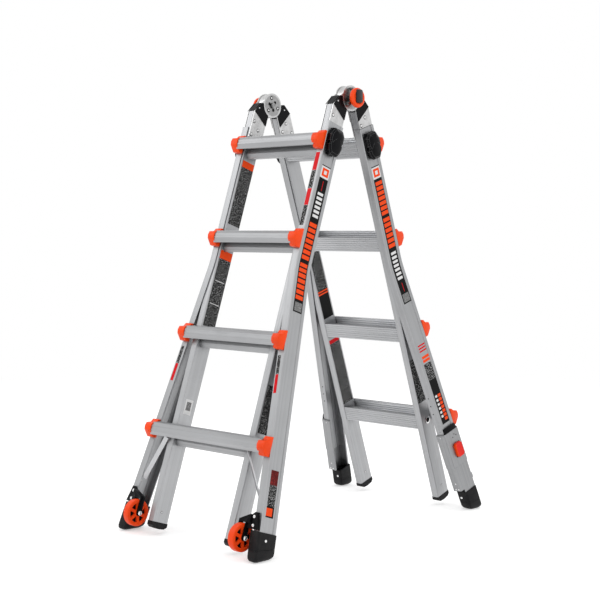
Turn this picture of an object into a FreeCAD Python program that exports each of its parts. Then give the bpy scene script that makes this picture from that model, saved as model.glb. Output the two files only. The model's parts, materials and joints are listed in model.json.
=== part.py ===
import FreeCAD, Part
import math
import os
import re

import Sketcher

# A multi position ladder in its A-frame stance: two telescoping ladder sections joined by a pair of
# locking hinges. Units are millimetres and degrees.
#
# Frame: +Z up, X along the rungs, the wheeled front section towards -Y. The origin is on the floor
# under the middle of the ladder.
#
# Each section is drawn in its own upright frame, which hangs from the hinge axis:
#   x  across the ladder,
#   n  out from the hinge towards the climbing side (drawn as -y),
#   s  down the rails from the hinge axis (drawn as -z).
# The section's Placement then tilts it into the stance.

SIZES = {
    # stance
    "tilt": 18.61,              # lean of each section from the vertical
    "lastRungHigh": 306.6,      # lowest rung to the floor, along the middle of the rails
    # inner rails: rectangular tube
    "innerFace": 155.0,         # inboard face of the tube, from the centre plane
    "tubeWidth": 24.5,
    "tubeNear": 9.0,            # near face of the tube, from the hinge plane
    "tubeDepth": 58.0,
    "tubeWall": 2.0,
    "tubeCorner": 3.5,
    "tubeTop": 45.0,
    "tubeShort": 38.4,          # end of the tube above the floor line
    # outer rails: channel that opens inwards and flares at the bottom
    "channelIn": 160.8,
    "channelWidth": 25.5,
    "slideGap": 0.6,            # running gap between tube and channel
    "channelWall": 2.4,
    "channelCorner": 2.0,
    "borderWidth": 12.0,
    "borderRise": 1.6,
    "borderSlant": 1.0,
    "guideGap": 1.0,            # guide rib to the tube's outer face
    "guideOffset": 15.0,
    "guideThick": 2.0,
    "channelTop": 99.0,
    "bendAt": 545.0,
    "bendRadius": 300.0,
    "flareAngle": 7.6,
    "frontShort": 43.4,         # ends of the channels above the floor line
    "rearShort": 143.4,
    # rungs
    "firstRung": 162.4,
    "rungPitch": 304.8,
    "rungWall": 2.0,
    "outerRungDepth": 29.0,
    "outerRungHigh": 37.0,
    "outerRungRise": 25.0,      # back top edge above the rung line
    "outerRungNose": 7.0,
    "outerNoseTop": 9.5,        # blunt nose of a rung, between its two slants
    "outerNoseLow": 13.5,
    "innerRungNear": 2.5,       # gap from the tube's near face to the rung's back
    "innerRungDepth": 44.0,
    "innerRungHigh": 46.0,
    "innerRungRise": 22.0,
    "innerRungNose": 7.0,
    "innerNoseTop": 13.0,
    "innerNoseLow": 14.0,
    "rungEnd": 3.0,
    "treadRib": 0.9,
    "socketRadius": 12.0,       # round rung end that the lock pin drops into
    "socketBore": 7.5,
    "socketClear": 0.1,
    "socketOut": 1.2,
    # caps on the outer rung ends
    "capInboard": 2.0,
    "capWidth": 27.0,
    "capDepth": 33.0,
    "capUp": 31.0,
    "capDown": 26.0,
    "capCover": 5.0,            # how far a cap laps over its rung
    # hinge
    "plateThick": 3.5,
    "plateGap": 0.3,
    "hubRadius": 38.5,
    "hubClear": 1.2,
    "discStep": 2.5,            # rear hub discs are smaller than the front ones
    "drumRadius": 36.0,
    "plateEnd": 130.0,
    "plateShort": 1.0,          # outer plates stop above the channel
    "shoulderAt": 44.0,
    "barrelRadius": 12.0,
    "stemRadius": 5.0,
    "boreClear": 0.4,
    "pinCircle": 27.0,
    "pinRadius": 4.5,
    "pinHoleClear": 0.6,
    "coverThick": 2.0,
    "coverReach": 50.0,
    "coverTip": 74.0,
    "coverTop": 11.0,
    "rivetRadius": 5.0,
    "rivetRise": 2.2,
    "leafRivetOut": 48.0,       # the leaf's rivets: two near its climbing side, one between them
    "leafRivetMid": 26.0,
    "leafRivetHigh": 80.0,
    "leafRivetLow": 116.0,
    "leafRivetStep": 12.5,
    # hinge knob
    "spiderStand": 9.0,         # pin plate clear of the hinge plate
    "spiderThick": 3.0,
    "spiderHub": 14.5,
    "pinStub": 4.0,
    "clipStand": 2.0,
    "clipRadius": 9.0,
    "clipThick": 3.0,
    "knobStand": 6.4,
    "knobRadius": 29.4,
    "knobThick": 12.9,
    # rung locks on the outer rails
    "lockUp": 46.4,             # above and below the rung line
    "lockDown": 37.0,
    "lockDeep": 57.0,
    "lockBase": 7.0,
    "lockEdge": 0.8,            # the rocker is a little smaller than its base
    "lugThick": 4.0,
    "lugRadius": 5.0,
    "lugSpread": 15.0,
    "lugClear": 0.8,
    "rockerGap": 1.0,
    "rockerRise": 16.0,
    "rockerEdge": 6.0,          # crown of the rocker at its two side edges
    "rockerAngle": 16.0,
    "rockerPivot": 14.0,        # pivot below the lock pin
    "pivotLift": 4.0,
    "pivotRadius": 3.0,
    "pivotClear": 0.3,
    "lockPinRadius": 6.0,
    "lockPinClear": 0.5,
    "lockPinStand": 1.6,        # pin's tip clear of the round rung end
    "lockPinSink": 4.0,         # pin's other end below the face of the base
    # feet
    "insertHigh": 20.0,
    "insertSink": 12.0,
    "insertClear": 0.1,
    "bootHigh": 77.4,           # top of a front boot above the floor line
    "rearBootHigh": 69.4,
    "bootBlock": 46.0,
    "bootRound": 16.0,          # start of the rounded sole below the boot's top
    "bootWall": 3.0,
    "bootNear": 3.0,
    "rearBootNear": 18.0,
    "bootFar": 76.0,
    "bootOut": 2.5,
    "bootIn": 9.5,
    "soleFlat": 22.0,
    "soleCurl": 9.0,
    "soleFlare": 0.5,
    # tip wheels
    "wheelRadius": 40.0,
    "wheelWidth": 22.0,
    "wheelAcross": 227.5,
    "wheelLift": 65.04,         # axle above the floor line, along the rail
    "wheelOut": 78.5,
    "wheelRim": 7.5,
    "wheelHub": 10.5,
    "wheelDish": 6.0,
    "wheelHoleClear": 2.2,
    "wheelHoles": 6,
    "axleRadius": 5.0,
    "axleClear": 0.3,
    "forkGap": 1.0,
    "forkThick": 3.0,
    "forkWide": 18.0,
    "boltHead": 6.5,
    "boltRise": 4.0,
    "bracketHigh": 76.0,        # top of the bracket above the axle
    "mountRise": 10.0,
    "hoodReach": 6.0,
    "hoodClear": 3.0,
    # brace under the lowest front rung
    "braceDrop": 136.4,
    "braceFoot": 38.0,
    "braceTop": 177.0,
    "braceThick": 2.5,
    "braceWide": 14.0,
    "braceIn": 10.0,            # how far its foot reaches into the channel
    "braceTurn": 84.0,
    # levelers on the rear legs, measured along the flared leg
    "levelDrop": 34.0,          # top of the sleeve below the lowest rung
    "levelLift": 58.4,          # end of the sleeve above the floor line
    "levelSkin": 2.5,
    "levelGap": 0.4,
    "levelLip": 1.0,
    "levelBulge": 4.4,
    "levelBack": 7.1,
    "levelHead": 115.0,
    "levelHeel": 19.0,          # lower end of the sleeve cut back beside the boot
    "buttonDrop": 43.0,
    "buttonHigh": 46.0,
    "buttonWide": 33.0,
    "buttonShift": 6.0,         # its middle, out from the middle of the rail
    "buttonRise": 9.0,
    "buttonTravel": 3.0,
    "buttonCorner": 6.0,
    "dotRadius": 2.2,
    "tabRise": 50.0,            # tab above the end of the sleeve
    "tabHigh": 16.0,
    "tabIn": 9.0,
    "tabWide": 17.0,
    "tabOut": 7.0,
    "stopHigh": 15.0,
    "stopClear": 1.0,
    "stopWide": 58.0,
    "stopRise": 8.0,
    "stopSlant": 4.0,
    "rackStart": 6.0,
    "rackTooth": 8.0,
    "rackDepth": 0.9,
    "rackWide": 16.0,
}

# sizes that follow from the ones above
DERIVED = {
    "legReach": "firstRung + 3 * rungPitch + lastRungHigh",
    "tubeEnd": "legReach - tubeShort",
    "frontChannelEnd": "legReach - frontShort",
    "rearChannelEnd": "legReach - rearShort",
    "bootTop": "legReach - bootHigh",
    "rearBootTop": "legReach - rearBootHigh",
    "wheelDown": "legReach + (wheelOut - tubeNear - tubeDepth / 2) * tan(tilt) - wheelLift",
    "levelTop": "(firstRung + 3 * rungPitch + levelDrop - bendAt) / cos(flareAngle)",
    "levelEnd": "(legReach - levelLift - bendAt) / cos(flareAngle)",
    "levelWrap": "levelTop + levelHead",
    "buttonTop": "levelTop + buttonDrop",
}

doc = FreeCAD.newDocument("MultiPositionLadder")
sheet = doc.addObject("Spreadsheet::Sheet", "Sizes")
for row, (name, value) in enumerate(SIZES.items(), 1):
    sheet.set(f"A{row}", name)
    sheet.set(f"B{row}", str(value))
    sheet.setAlias(f"B{row}", name)
doc.recompute()

SECTIONS = ("front", "rear")
SIDES = {"left": -1, "right": 1}


def link(text):
    """Write an expression's size names as references to the sheet, and spell out its derived sizes."""
    def spelled(match):
        name = match[0]
        if name in DERIVED:
            return f"({link(DERIVED[name])})"
        return f"Sizes.{name}" if name in SIZES else name

    return re.sub(r"[A-Za-z]\w*", spelled, f"{text}")


# ---------------------------------------------------------------- derived sizes, as expressions
TUBE_OUT = "(innerFace + tubeWidth)"
TUBE_FAR = "(tubeNear + tubeDepth)"
MID = "(tubeNear + tubeDepth / 2)"
CHANNEL_NEAR = "(tubeNear - slideGap - channelWall)"
CHANNEL_FAR = "(tubeNear + tubeDepth + slideGap + channelWall)"
CHANNEL_OUT = "(channelIn + channelWidth)"
GUIDE_IN = f"({TUBE_OUT} + guideGap)"
HINGE_HEIGHT = f"(legReach * cos(tilt) - {MID} * sin(tilt))"
RUNG_SLOPE = "tan(tilt)"


def splay(down):
    """How far the flared channel has moved outwards at a distance down the rail."""
    return f"(({down}) > bendAt ? (({down}) - bendAt) * tan(flareAngle) : 0)"


def floor_at(out):
    """Distance down the rail at which a line n = out meets the floor."""
    return f"(legReach + (({out}) - {MID}) * tan(tilt))"


# the front wheel and the rear sole reach out differently, so the hinge stands a little off centre
FRONT_REACH = "(wheelDown * sin(tilt) + wheelOut * cos(tilt) + wheelRadius)"
REAR_REACH = f"({floor_at('bootFar')} * sin(tilt) + bootFar * cos(tilt))"
HINGE_Y = f"(({FRONT_REACH} - {REAR_REACH}) / 2)"

STAND = f"create(<<vector>>; 0; {HINGE_Y}; {HINGE_HEIGHT})"
LEAN = "create(<<placement>>; create(<<vector>>; 0; 0; 0); create(<<rotation>>; create(<<vector>>; 1; 0; 0); -tilt))"
PLACEMENTS = {
    "front": f"create(<<placement>>; {STAND}; create(<<rotation>>; create(<<vector>>; 0; 0; 1); 0)) * {LEAN}",
    "rear": f"create(<<placement>>; {STAND}; create(<<rotation>>; create(<<vector>>; 0; 0; 1); 180)) * {LEAN}",
}


def local_side(section, side_name):
    """The rear section faces the other way, so its own +x is the ladder's -X."""
    return SIDES[side_name] if section == "front" else -SIDES[side_name]


def moved(x, n, s, axis="0; 1; 0", angle="0"):
    """Placement of something drawn about its own origin, within a section's frame."""
    return (f"create(<<placement>>; create(<<vector>>; {x}; -({n}); -({s})); "
            f"create(<<rotation>>; create(<<vector>>; {axis}); {angle}))")


def flare_placement(section, side):
    """Placement of a part drawn along the flared leg, from the bend at the channel's inner edge."""
    return f"{PLACEMENTS[section]} * " + moved(f"{side} * channelIn", "0", "bendAt", angle=f"{-side} * flareAngle")


# ---------------------------------------------------------------- sketch and feature helpers
def new_body(label):
    body = doc.addObject("PartDesign::Body", label)
    body.Label = label
    return body


def new_sketch(body, role, start="0"):
    sketch = body.newObject("Sketcher::SketchObject", "Sketch")
    origin_plane = next(f for f in body.Origin.OriginFeatures if f.Role == role)
    sketch.AttachmentSupport = (origin_plane, [""])
    sketch.MapMode = "FlatFace"
    sketch.setExpression("AttachmentOffset.Base.z", link(start))
    return sketch


def number(text):
    """Value of an expression with the present sizes."""
    return float(sheet.evalExpression(link(text)))


def pin_down(sketch, geometry, end, point):
    """Hold one end of a sketch element at a pair of expressions."""
    for kind, text in zip(("DistanceX", "DistanceY"), point):
        index = sketch.addConstraint(Sketcher.Constraint(kind, geometry, end, number(text)))
        sketch.setExpression(f"Constraints[{index}]", link(text))


def draw_outline(sketch, points):
    """Draw a closed outline whose corners are driven by pairs of expressions."""
    first = sketch.GeometryCount
    count = len(points)
    spots = [FreeCAD.Vector(number(u), number(v), 0) for u, v in points]
    for i in range(count):
        sketch.addGeometry(Part.LineSegment(spots[i], spots[(i + 1) % count]), False)
    for i, point in enumerate(points):
        sketch.addConstraint(Sketcher.Constraint("Coincident", first + i, 2, first + (i + 1) % count, 1))
        pin_down(sketch, first + i, 1, point)


def draw_circle(sketch, centre, radius):
    middle = FreeCAD.Vector(number(centre[0]), number(centre[1]), 0)
    circle = sketch.addGeometry(Part.Circle(middle, FreeCAD.Vector(0, 0, 1), number(radius)), False)
    pin_down(sketch, circle, 3, centre)
    index = sketch.addConstraint(Sketcher.Constraint("Radius", circle, number(radius)))
    sketch.setExpression(f"Constraints[{index}]", link(radius))


# outlines are written in the ladder's own terms and turned into sketch coordinates here
def across_out(points):
    return [(x, f"-({n})") for x, n in points]


def across_down(points):
    return [(x, f"-({s})") for x, s in points]


def out_down(points):
    return [(f"-({n})", f"-({s})") for n, s in points]


def grow(body, sketch, length, toward=1, cut=False, middle=False):
    """Pad or pocket a sketch; toward is +1 along the sketch's normal and -1 against it."""
    feature = body.newObject("PartDesign::Pocket" if cut else "PartDesign::Pad", "Cut" if cut else "Pad")
    feature.Profile = sketch
    feature.setExpression("Length", link(length))
    feature.Reversed = (toward < 0) != cut
    feature.Midplane = middle
    before = body.Shape.Volume if cut else 0
    doc.recompute()
    if cut and body.Shape.Volume >= before:
        raise RuntimeError(f"{body.Label}: a pocket cuts nothing")
    return feature


def plate_x(body, outline, start, length, toward=1, cut=False, circles=()):
    """Extrude an (n, s) outline, or circles (n, s, r), along x."""
    sketch = new_sketch(body, "YZ_Plane", start)
    if outline:
        draw_outline(sketch, out_down(outline))
    for n, s, radius in circles:
        draw_circle(sketch, (f"-({n})", f"-({s})"), radius)
    return grow(body, sketch, length, toward, cut)


def plate_n(body, outline, start, length, cut=False, circles=()):
    """Extrude an (x, s) outline, or circles (x, s, r), along n."""
    sketch = new_sketch(body, "XZ_Plane", start)
    if outline:
        draw_outline(sketch, across_down(outline))
    for x, s, radius in circles:
        draw_circle(sketch, (x, f"-({s})"), radius)
    return grow(body, sketch, length, 1, cut)


def bar_s(body, outline, start, length, cut=False, circles=()):
    """Extrude an (x, n) outline, or circles (x, n, r), down the rail."""
    sketch = new_sketch(body, "XY_Plane", f"-({start})")
    if outline:
        draw_outline(sketch, across_out(outline))
    for x, n, radius in circles:
        draw_circle(sketch, (x, f"-({n})"), radius)
    return grow(body, sketch, length, -1, cut)


def turn(body, outline):
    """Turn an (x, radius) outline about the body's own x axis."""
    sketch = new_sketch(body, "XZ_Plane")
    draw_outline(sketch, outline)
    feature = body.newObject("PartDesign::Revolution", "Turned")
    feature.Profile = sketch
    feature.ReferenceAxis = (sketch, ["H_Axis"])
    feature.Angle = 360
    doc.recompute()
    return feature


def inset(points, wall):
    """The outline moved inwards by a wall thickness."""
    spots = [FreeCAD.Vector(number(u), number(v), 0) for u, v in points]
    area = sum(a.cross(b).z for a, b in zip(spots, spots[1:] + spots[:1]))
    left = FreeCAD.Rotation(FreeCAD.Vector(0, 0, 1), 90 if area > 0 else -90)
    moved_in = []
    for i, (u, v) in enumerate(points):
        arriving = left * (spots[i] - spots[i - 1]).normalize()
        leaving = left * (spots[(i + 1) % len(spots)] - spots[i]).normalize()
        shift = (arriving + leaving) / (1 + arriving.dot(leaving))
        moved_in.append((f"{u} + {wall} * ({shift.x:.5f})", f"{v} + {wall} * ({shift.y:.5f})"))
    return moved_in


def on_side(side, points):
    """An outline drawn for the +x side, on the side that is wanted."""
    return [(f"{side} * ({x})", v) for x, v in points]


def rectangle(a0, a1, b0, b1):
    return [(a0, b0), (a1, b0), (a1, b1), (a0, b1)]


def round_edges(body, radius, choose, chamfer=False):
    """Fillet or chamfer the tip's edges that choose(edge) accepts."""
    doc.recompute()
    tip = body.Tip
    names = [f"Edge{i}" for i, edge in enumerate(tip.Shape.Edges, 1) if choose(edge)]
    feature = body.newObject("PartDesign::Chamfer" if chamfer else "PartDesign::Fillet", "Round")
    feature.Base = (tip, names)
    feature.setExpression("Size" if chamfer else "Radius", link(radius))
    body.Tip = feature
    doc.recompute()
    return feature


def runs_along(edge, axis, tolerance=0.02):
    if edge.Curve.TypeId != "Part::GeomLine":
        return False
    line = edge.Vertexes[-1].Point - edge.Vertexes[0].Point
    return abs(abs(line.normalize().dot(axis)) - 1) < tolerance


AXIS_X, AXIS_N, AXIS_S = FreeCAD.Vector(1, 0, 0), FreeCAD.Vector(0, 1, 0), FreeCAD.Vector(0, 0, 1)


def seat(feature, placement):
    feature.setExpression("Placement", link(placement))


def group(label, members):
    """One node that holds several separate solids."""
    node = doc.addObject("Part::Compound", label)
    node.Label = label
    node.Links = members
    return node


NODES = []


def add_node(feature, placement):
    seat(feature, placement)
    NODES.append(feature)


def rivet(label, x, n, s, facing, radius="rivetRadius", rise="rivetRise"):
    """Low conical rivet head standing on the surface at (x, n, s) and facing along x or n."""
    head = doc.addObject("Part::Cone", label)
    head.setExpression("Radius1", link(radius))
    head.setExpression("Radius2", link(f"{radius} * 0.55"))
    head.setExpression("Height", link(rise))
    turns = {"+x": ("0; 1; 0", "90"), "-x": ("0; 1; 0", "-90"), "+n": ("1; 0; 0", "90"), "-n": ("1; 0; 0", "-90")}
    seat(head, moved(x, n, s, *turns[facing]))
    return head


# ---------------------------------------------------------------- rails
def inner_rail(section, side_name):
    """Rectangular tube with round corners and a round socket hole at every rung."""
    side = local_side(section, side_name)
    body = new_body(f"{section}_inner_rail_{side_name}")
    inboard, outboard = f"{side} * innerFace", f"{side} * {TUBE_OUT}"
    bar_s(body, rectangle(inboard, outboard, "tubeNear", TUBE_FAR), "tubeTop", "tubeEnd - tubeTop")
    round_edges(body, "tubeCorner", lambda e: runs_along(e, AXIS_S))
    bore = rectangle(f"{side} * (innerFace + tubeWall)", f"{side} * ({TUBE_OUT} - tubeWall)",
                     "tubeNear + tubeWall", f"{TUBE_FAR} - tubeWall")
    bar_s(body, bore, "tubeTop - 1", "tubeEnd - tubeTop + 2", cut=True)
    holes = [(MID, rung_line(k), "socketRadius + socketClear") for k in range(4)]
    plate_x(body, None, f"{side} * (innerFace - 1)", "tubeWidth + 2", side, cut=True, circles=holes)
    return body


def rung_line(k):
    return f"(firstRung + {k} * rungPitch)"


def outer_rail(section, side_name):
    """Extruded channel, bent outwards below the second rung, with guide ribs and raised web borders."""
    side = local_side(section, side_name)
    body = new_body(f"{section}_outer_rail_{side_name}")
    web_out, web_in = f"({CHANNEL_OUT} - borderRise)", f"({CHANNEL_OUT} - borderRise - channelWall)"
    half = [
        ("channelIn", CHANNEL_NEAR),
        (f"{CHANNEL_OUT} - channelCorner", CHANNEL_NEAR),
        (CHANNEL_OUT, f"{CHANNEL_NEAR} + channelCorner"),
        (CHANNEL_OUT, f"{CHANNEL_NEAR} + borderWidth"),
        (web_out, f"{CHANNEL_NEAR} + borderWidth + borderSlant"),
        (web_in, f"{CHANNEL_NEAR} + guideOffset + guideThick"),
        (GUIDE_IN, f"{CHANNEL_NEAR} + guideOffset + guideThick"),
        (GUIDE_IN, f"{CHANNEL_NEAR} + guideOffset"),
        (web_in, f"{CHANNEL_NEAR} + guideOffset"),
        (web_in, f"{CHANNEL_NEAR} + channelWall"),
        ("channelIn", f"{CHANNEL_NEAR} + channelWall"),
    ]
    mirrored = [(x, f"{CHANNEL_NEAR} + {CHANNEL_FAR} - ({n})") for x, n in half]
    outline = half[:5] + mirrored[4::-1] + mirrored[:4:-1] + half[5:]
    profile = new_sketch(body, "XY_Plane", "-channelTop")
    draw_outline(profile, across_out(on_side(side, outline)))
    end = "frontChannelEnd" if section == "front" else "rearChannelEnd"
    spine = bent_spine(body, side, end)
    rail = body.newObject("PartDesign::AdditivePipe", "Bent")
    rail.Profile = profile
    rail.Spine = (spine, ["Edge1", "Edge2", "Edge3"])
    doc.recompute()
    # hole for the lock pin
    plate_x(body, None, f"{side} * ({web_in} - 4)", "channelWall + borderRise + 8", side, cut=True,
            circles=[(MID, "firstRung", "lockPinRadius + lockPinClear")])
    return body


def bent_spine(body, side, end):
    """Path of the channel: straight, a bend, and the flared leg."""
    spine = new_sketch(body, "XZ_Plane")
    trim = "bendRadius * tan(flareAngle / 2)"
    corners = [
        ("channelIn", "-channelTop"),
        ("channelIn", f"-bendAt + {trim}"),
        (f"channelIn + {trim} * sin(flareAngle)", f"-bendAt - {trim} * cos(flareAngle)"),
        (f"channelIn + ({end} - bendAt) * tan(flareAngle)", f"-({end})"),
    ]
    corners = [(f"{side} * ({x})", z) for x, z in corners]
    top, bend_start, bend_end, bottom = (FreeCAD.Vector(number(x), number(z), 0) for x, z in corners)
    radius, swing = number("bendRadius"), math.radians(number("flareAngle"))
    circle = Part.Circle(bend_start + FreeCAD.Vector(side * radius, 0, 0), FreeCAD.Vector(0, 0, 1), radius)
    angles = (math.pi, math.pi + swing) if side > 0 else (-swing, 0)
    arc_start, arc_end = (1, 2) if side > 0 else (2, 1)
    spine.addGeometry(Part.LineSegment(top, bend_start), False)
    spine.addGeometry(Part.ArcOfCircle(circle, *angles), False)
    spine.addGeometry(Part.LineSegment(bend_end, bottom), False)
    for geometry, end_index, corner in ((0, 1, 0), (0, 2, 1), (2, 1, 2), (2, 2, 3)):
        pin_down(spine, geometry, end_index, corners[corner])
    spine.addConstraint(Sketcher.Constraint("Coincident", 0, 2, 1, arc_start))
    spine.addConstraint(Sketcher.Constraint("Coincident", 2, 1, 1, arc_end))
    index = spine.addConstraint(Sketcher.Constraint("Radius", 1, radius))
    spine.setExpression(f"Constraints[{index}]", link("bendRadius"))
    return spine


# ---------------------------------------------------------------- rungs
def ridged_top(near, top, deep, count):
    """Top edge of a rung from its back to its nose, level in the stance, with grip ridges."""
    pitch = f"({deep}) / {count}"
    points = [(near, top)]
    for i in range(count):
        start, stop = f"({i + 0.35} * {pitch})", f"({i + 0.7} * {pitch})"
        for d, rise in ((start, "0"), (start, "treadRib"), (stop, "treadRib"), (stop, "0")):
            points.append((f"{near} + {d}", f"{top} + {d} * {RUNG_SLOPE} - {rise}"))
    points.append((f"{near} + {deep}", f"{top} + ({deep}) * {RUNG_SLOPE}"))
    return points


def rung_outline(near, top, depth, high, nose, upper, lower, ridges):
    """Closed outline of a rung: ridged tread, blunt nose and an underside parallel to the tread."""
    deep = f"({depth} - {nose})"
    tread = ridged_top(near, top, deep, ridges)
    return tread + [
        (f"{near} + {depth}", f"{top} + {deep} * {RUNG_SLOPE} + {upper}"),
        (f"{near} + {depth}", f"{top} + {deep} * {RUNG_SLOPE} + {high} - {lower}"),
        (f"{near} + {deep}", f"{top} + {deep} * {RUNG_SLOPE} + {high}"),
        (near, f"{top} + {high}"),
    ]


def outer_rung_outline(k, ridges=5):
    top = f"({rung_line(k)} - outerRungRise)"
    return rung_outline(CHANNEL_FAR, top, "outerRungDepth", "outerRungHigh", "outerRungNose", "outerNoseTop",
                        "outerNoseLow", ridges)


def inner_rung_outline(k, ridges=7):
    top = f"({rung_line(k)} - innerRungRise)"
    near = "(tubeNear + innerRungNear)"
    return rung_outline(near, top, "innerRungDepth", "innerRungHigh", "innerRungNose", "innerNoseTop",
                        "innerNoseLow", ridges)


def rail_edge(s):
    """Inboard edge of the outer rail level with a distance down the section."""
    return f"(channelIn + {splay(s)})"


def outer_rung(section, k):
    """Open extrusion across the fronts of the outer rails, its ends inside the caps."""
    body = new_body(f"{section}_outer_rung_{k + 1}")
    reach = f"({rail_edge(rung_line(k))} - capInboard + capCover)"
    outline = outer_rung_outline(k)
    plate_x(body, outline, f"-{reach}", f"2 * {reach}")
    plate_x(body, inset(outer_rung_outline(k, 0), "rungWall"), f"-{reach} - 1", f"2 * {reach} + 2", cut=True)
    return body


def rung_end_cap(section, k, side):
    """Cover over one end of an outer rung, against the front flange of the rail."""
    body = new_body(f"{section}_rung_{k + 1}_cap_{'a' if side < 0 else 'b'}")
    line, back = rung_line(k), CHANNEL_FAR
    outline = [
        (back, f"{line} - capUp"),
        (f"{back} + 0.22 * capDepth", f"{line} - capUp + 1"),
        (f"{back} + 0.42 * capDepth", f"{line} - 0.63 * capUp"),
        (f"{back} + 0.9 * capDepth", f"{line} - 0.45 * capUp"),
        (f"{back} + capDepth", f"{line} - 0.08 * capUp"),
        (f"{back} + 0.94 * capDepth", f"{line} + 0.3 * capDown"),
        (f"{back} + 0.42 * capDepth", f"{line} + capDown"),
        (back, f"{line} + capDown"),
    ]
    start = f"{side} * ({rail_edge(line)} - capInboard)"
    plate_x(body, outline, start, "capWidth", side)
    plate_x(body, outer_rung_outline(k), start, "capCover", side, cut=True)
    return body


def inner_rung(section, k):
    """Closed rung between the inner rails, with a round hollow end through each rail for the lock pin."""
    body = new_body(f"{section}_inner_rung_{k + 1}")
    line = rung_line(k)
    plate_x(body, inner_rung_outline(k), "-innerFace", "2 * innerFace")
    void = inset(inner_rung_outline(k, 0), "rungWall")
    plate_x(body, void, "-innerFace + rungEnd", "2 * innerFace - 2 * rungEnd", cut=True)
    reach = f"{TUBE_OUT} + socketOut"
    for side in SIDES.values():
        length = f"{reach} - innerFace + rungEnd"
        plate_x(body, None, f"{side} * (innerFace - rungEnd)", length, side, circles=[(MID, line, "socketRadius")])
        plate_x(body, None, f"{side} * (innerFace - rungEnd - 1)", f"{length} + 2", side, cut=True,
                circles=[(MID, line, "socketBore")])
    return body


# ---------------------------------------------------------------- hinges
def leaf_outline(first, end):
    """Hinge plate from its first corner near the hub, over the shoulder and down the rail."""
    return [
        ("0", "0"),
        first,
        (TUBE_FAR, "shoulderAt"),
        (TUBE_FAR, end),
        ("tubeNear", end),
        ("tubeNear", "sqrt(hubRadius ^ 2 - tubeNear ^ 2)"),
    ]


COVER_START = ("coverReach", "coverTop")
HUB_SPACE = [("0", "0", "hubRadius + hubClear")]
# where each plate of a leaf starts across the tube, and where it ends down the rail
PLATES = (
    ("innerFace - plateThick", "plateEnd"),
    (TUBE_OUT, "channelTop - plateShort"),
)


def pin_spots(radius):
    return [(f"pinCircle * cos({a})", f"pinCircle * sin({a})", radius) for a in (60, 180, 300)]


def front_leaf(side_name):
    """Two plates outside the tube, each with a full hub disc; the outer disc has the lock pin holes."""
    side = local_side("front", side_name)
    body = new_body(f"front_hinge_leaf_{side_name}")
    for start, end in PLATES:
        plate_x(body, leaf_outline(("hubRadius", "0"), end), f"{side} * ({start})", "plateThick", side)
        plate_x(body, None, f"{side} * ({start})", "plateThick", side, circles=[("0", "0", "hubRadius")])
        plate_x(body, None, f"{side} * ({start} - 1)", "plateThick + 2", side, cut=True,
                circles=[("0", "0", "stemRadius + boreClear")])
    plate_x(body, None, f"{side} * ({TUBE_OUT} - 1)", "plateThick + 2", side, cut=True,
            circles=pin_spots("pinRadius + pinHoleClear"))
    return body


def rear_leaf(side_name):
    """Hub drum and discs that turn between the front plates, joined to shoulder plates outside the tube."""
    side = local_side("rear", side_name)
    body = new_body(f"rear_hinge_leaf_{side_name}")
    inner_disc = "innerFace + plateGap"
    outer_disc = f"{TUBE_OUT} - plateGap - plateThick"
    plate_x(body, None, f"{side} * ({inner_disc} + plateThick)", f"{outer_disc} - ({inner_disc} + plateThick)", side,
            circles=[("0", "0", "drumRadius")])
    neck = [
        ("0", "0"),
        ("hubRadius - discStep", "0"),
        (f"{TUBE_FAR} - 13", "tubeTop - 15"),
        (f"{TUBE_FAR} - 13", "tubeTop - 0.5"),
        ("tubeNear + 3", "tubeTop - 0.5"),
        ("tubeNear", "hubRadius - 3"),
    ]
    for start in (inner_disc, outer_disc):
        plate_x(body, None, f"{side} * ({start})", "plateThick", side, circles=[("0", "0", "hubRadius - discStep")])
        plate_x(body, neck, f"{side} * ({start})", "plateThick", side)
    for start in ("innerFace", f"{TUBE_OUT} - plateGap"):
        plate_x(body, neck, f"{side} * ({start})", "plateGap", side)
    for start, end in PLATES:
        plate_x(body, leaf_outline(COVER_START, end), f"{side} * ({start})", "plateThick", side)
    for start in ("innerFace - plateThick", f"{TUBE_OUT} - plateGap"):
        extra = "plateThick + plateGap"
        plate_x(body, None, f"{side} * ({start})", extra, side, cut=True, circles=HUB_SPACE)
    plate_x(body, None, f"{side} * ({inner_disc} - 1)", f"{TUBE_OUT} - innerFace + 2", side, cut=True,
            circles=[("0", "0", "barrelRadius + plateGap")])
    return body


def hinge_cover(section, side_name):
    """Moulded shoulder cover: a filler between the plates and a skin on each outer face."""
    side = local_side(section, side_name)
    body = new_body(f"{section}_hinge_cover_{side_name}")
    skin = [("0", "0"), COVER_START, (TUBE_FAR, "shoulderAt"), ("tubeNear", "coverTip"), ("tubeNear", "hubRadius - 3")]
    filler = [("0", "0"), COVER_START, (TUBE_FAR, "shoulderAt"), (TUBE_FAR, "tubeTop"), ("tubeNear", "tubeTop"),
              ("tubeNear", "hubRadius - 3")]
    inset_by = "plateGap + plateThick" if section == "rear" else "0"
    filler_start = f"innerFace + {inset_by}"
    for outline, start, thick in (
        (filler, filler_start, f"tubeWidth - 2 * ({inset_by})"),
        (skin, "innerFace - plateThick - coverThick", "coverThick"),
        (skin, f"{TUBE_OUT} + plateThick", "coverThick"),
    ):
        plate_x(body, outline, f"{side} * ({start})", thick, side)
        plate_x(body, None, f"{side} * ({start})", thick, side, cut=True, circles=HUB_SPACE)
    return body


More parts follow.
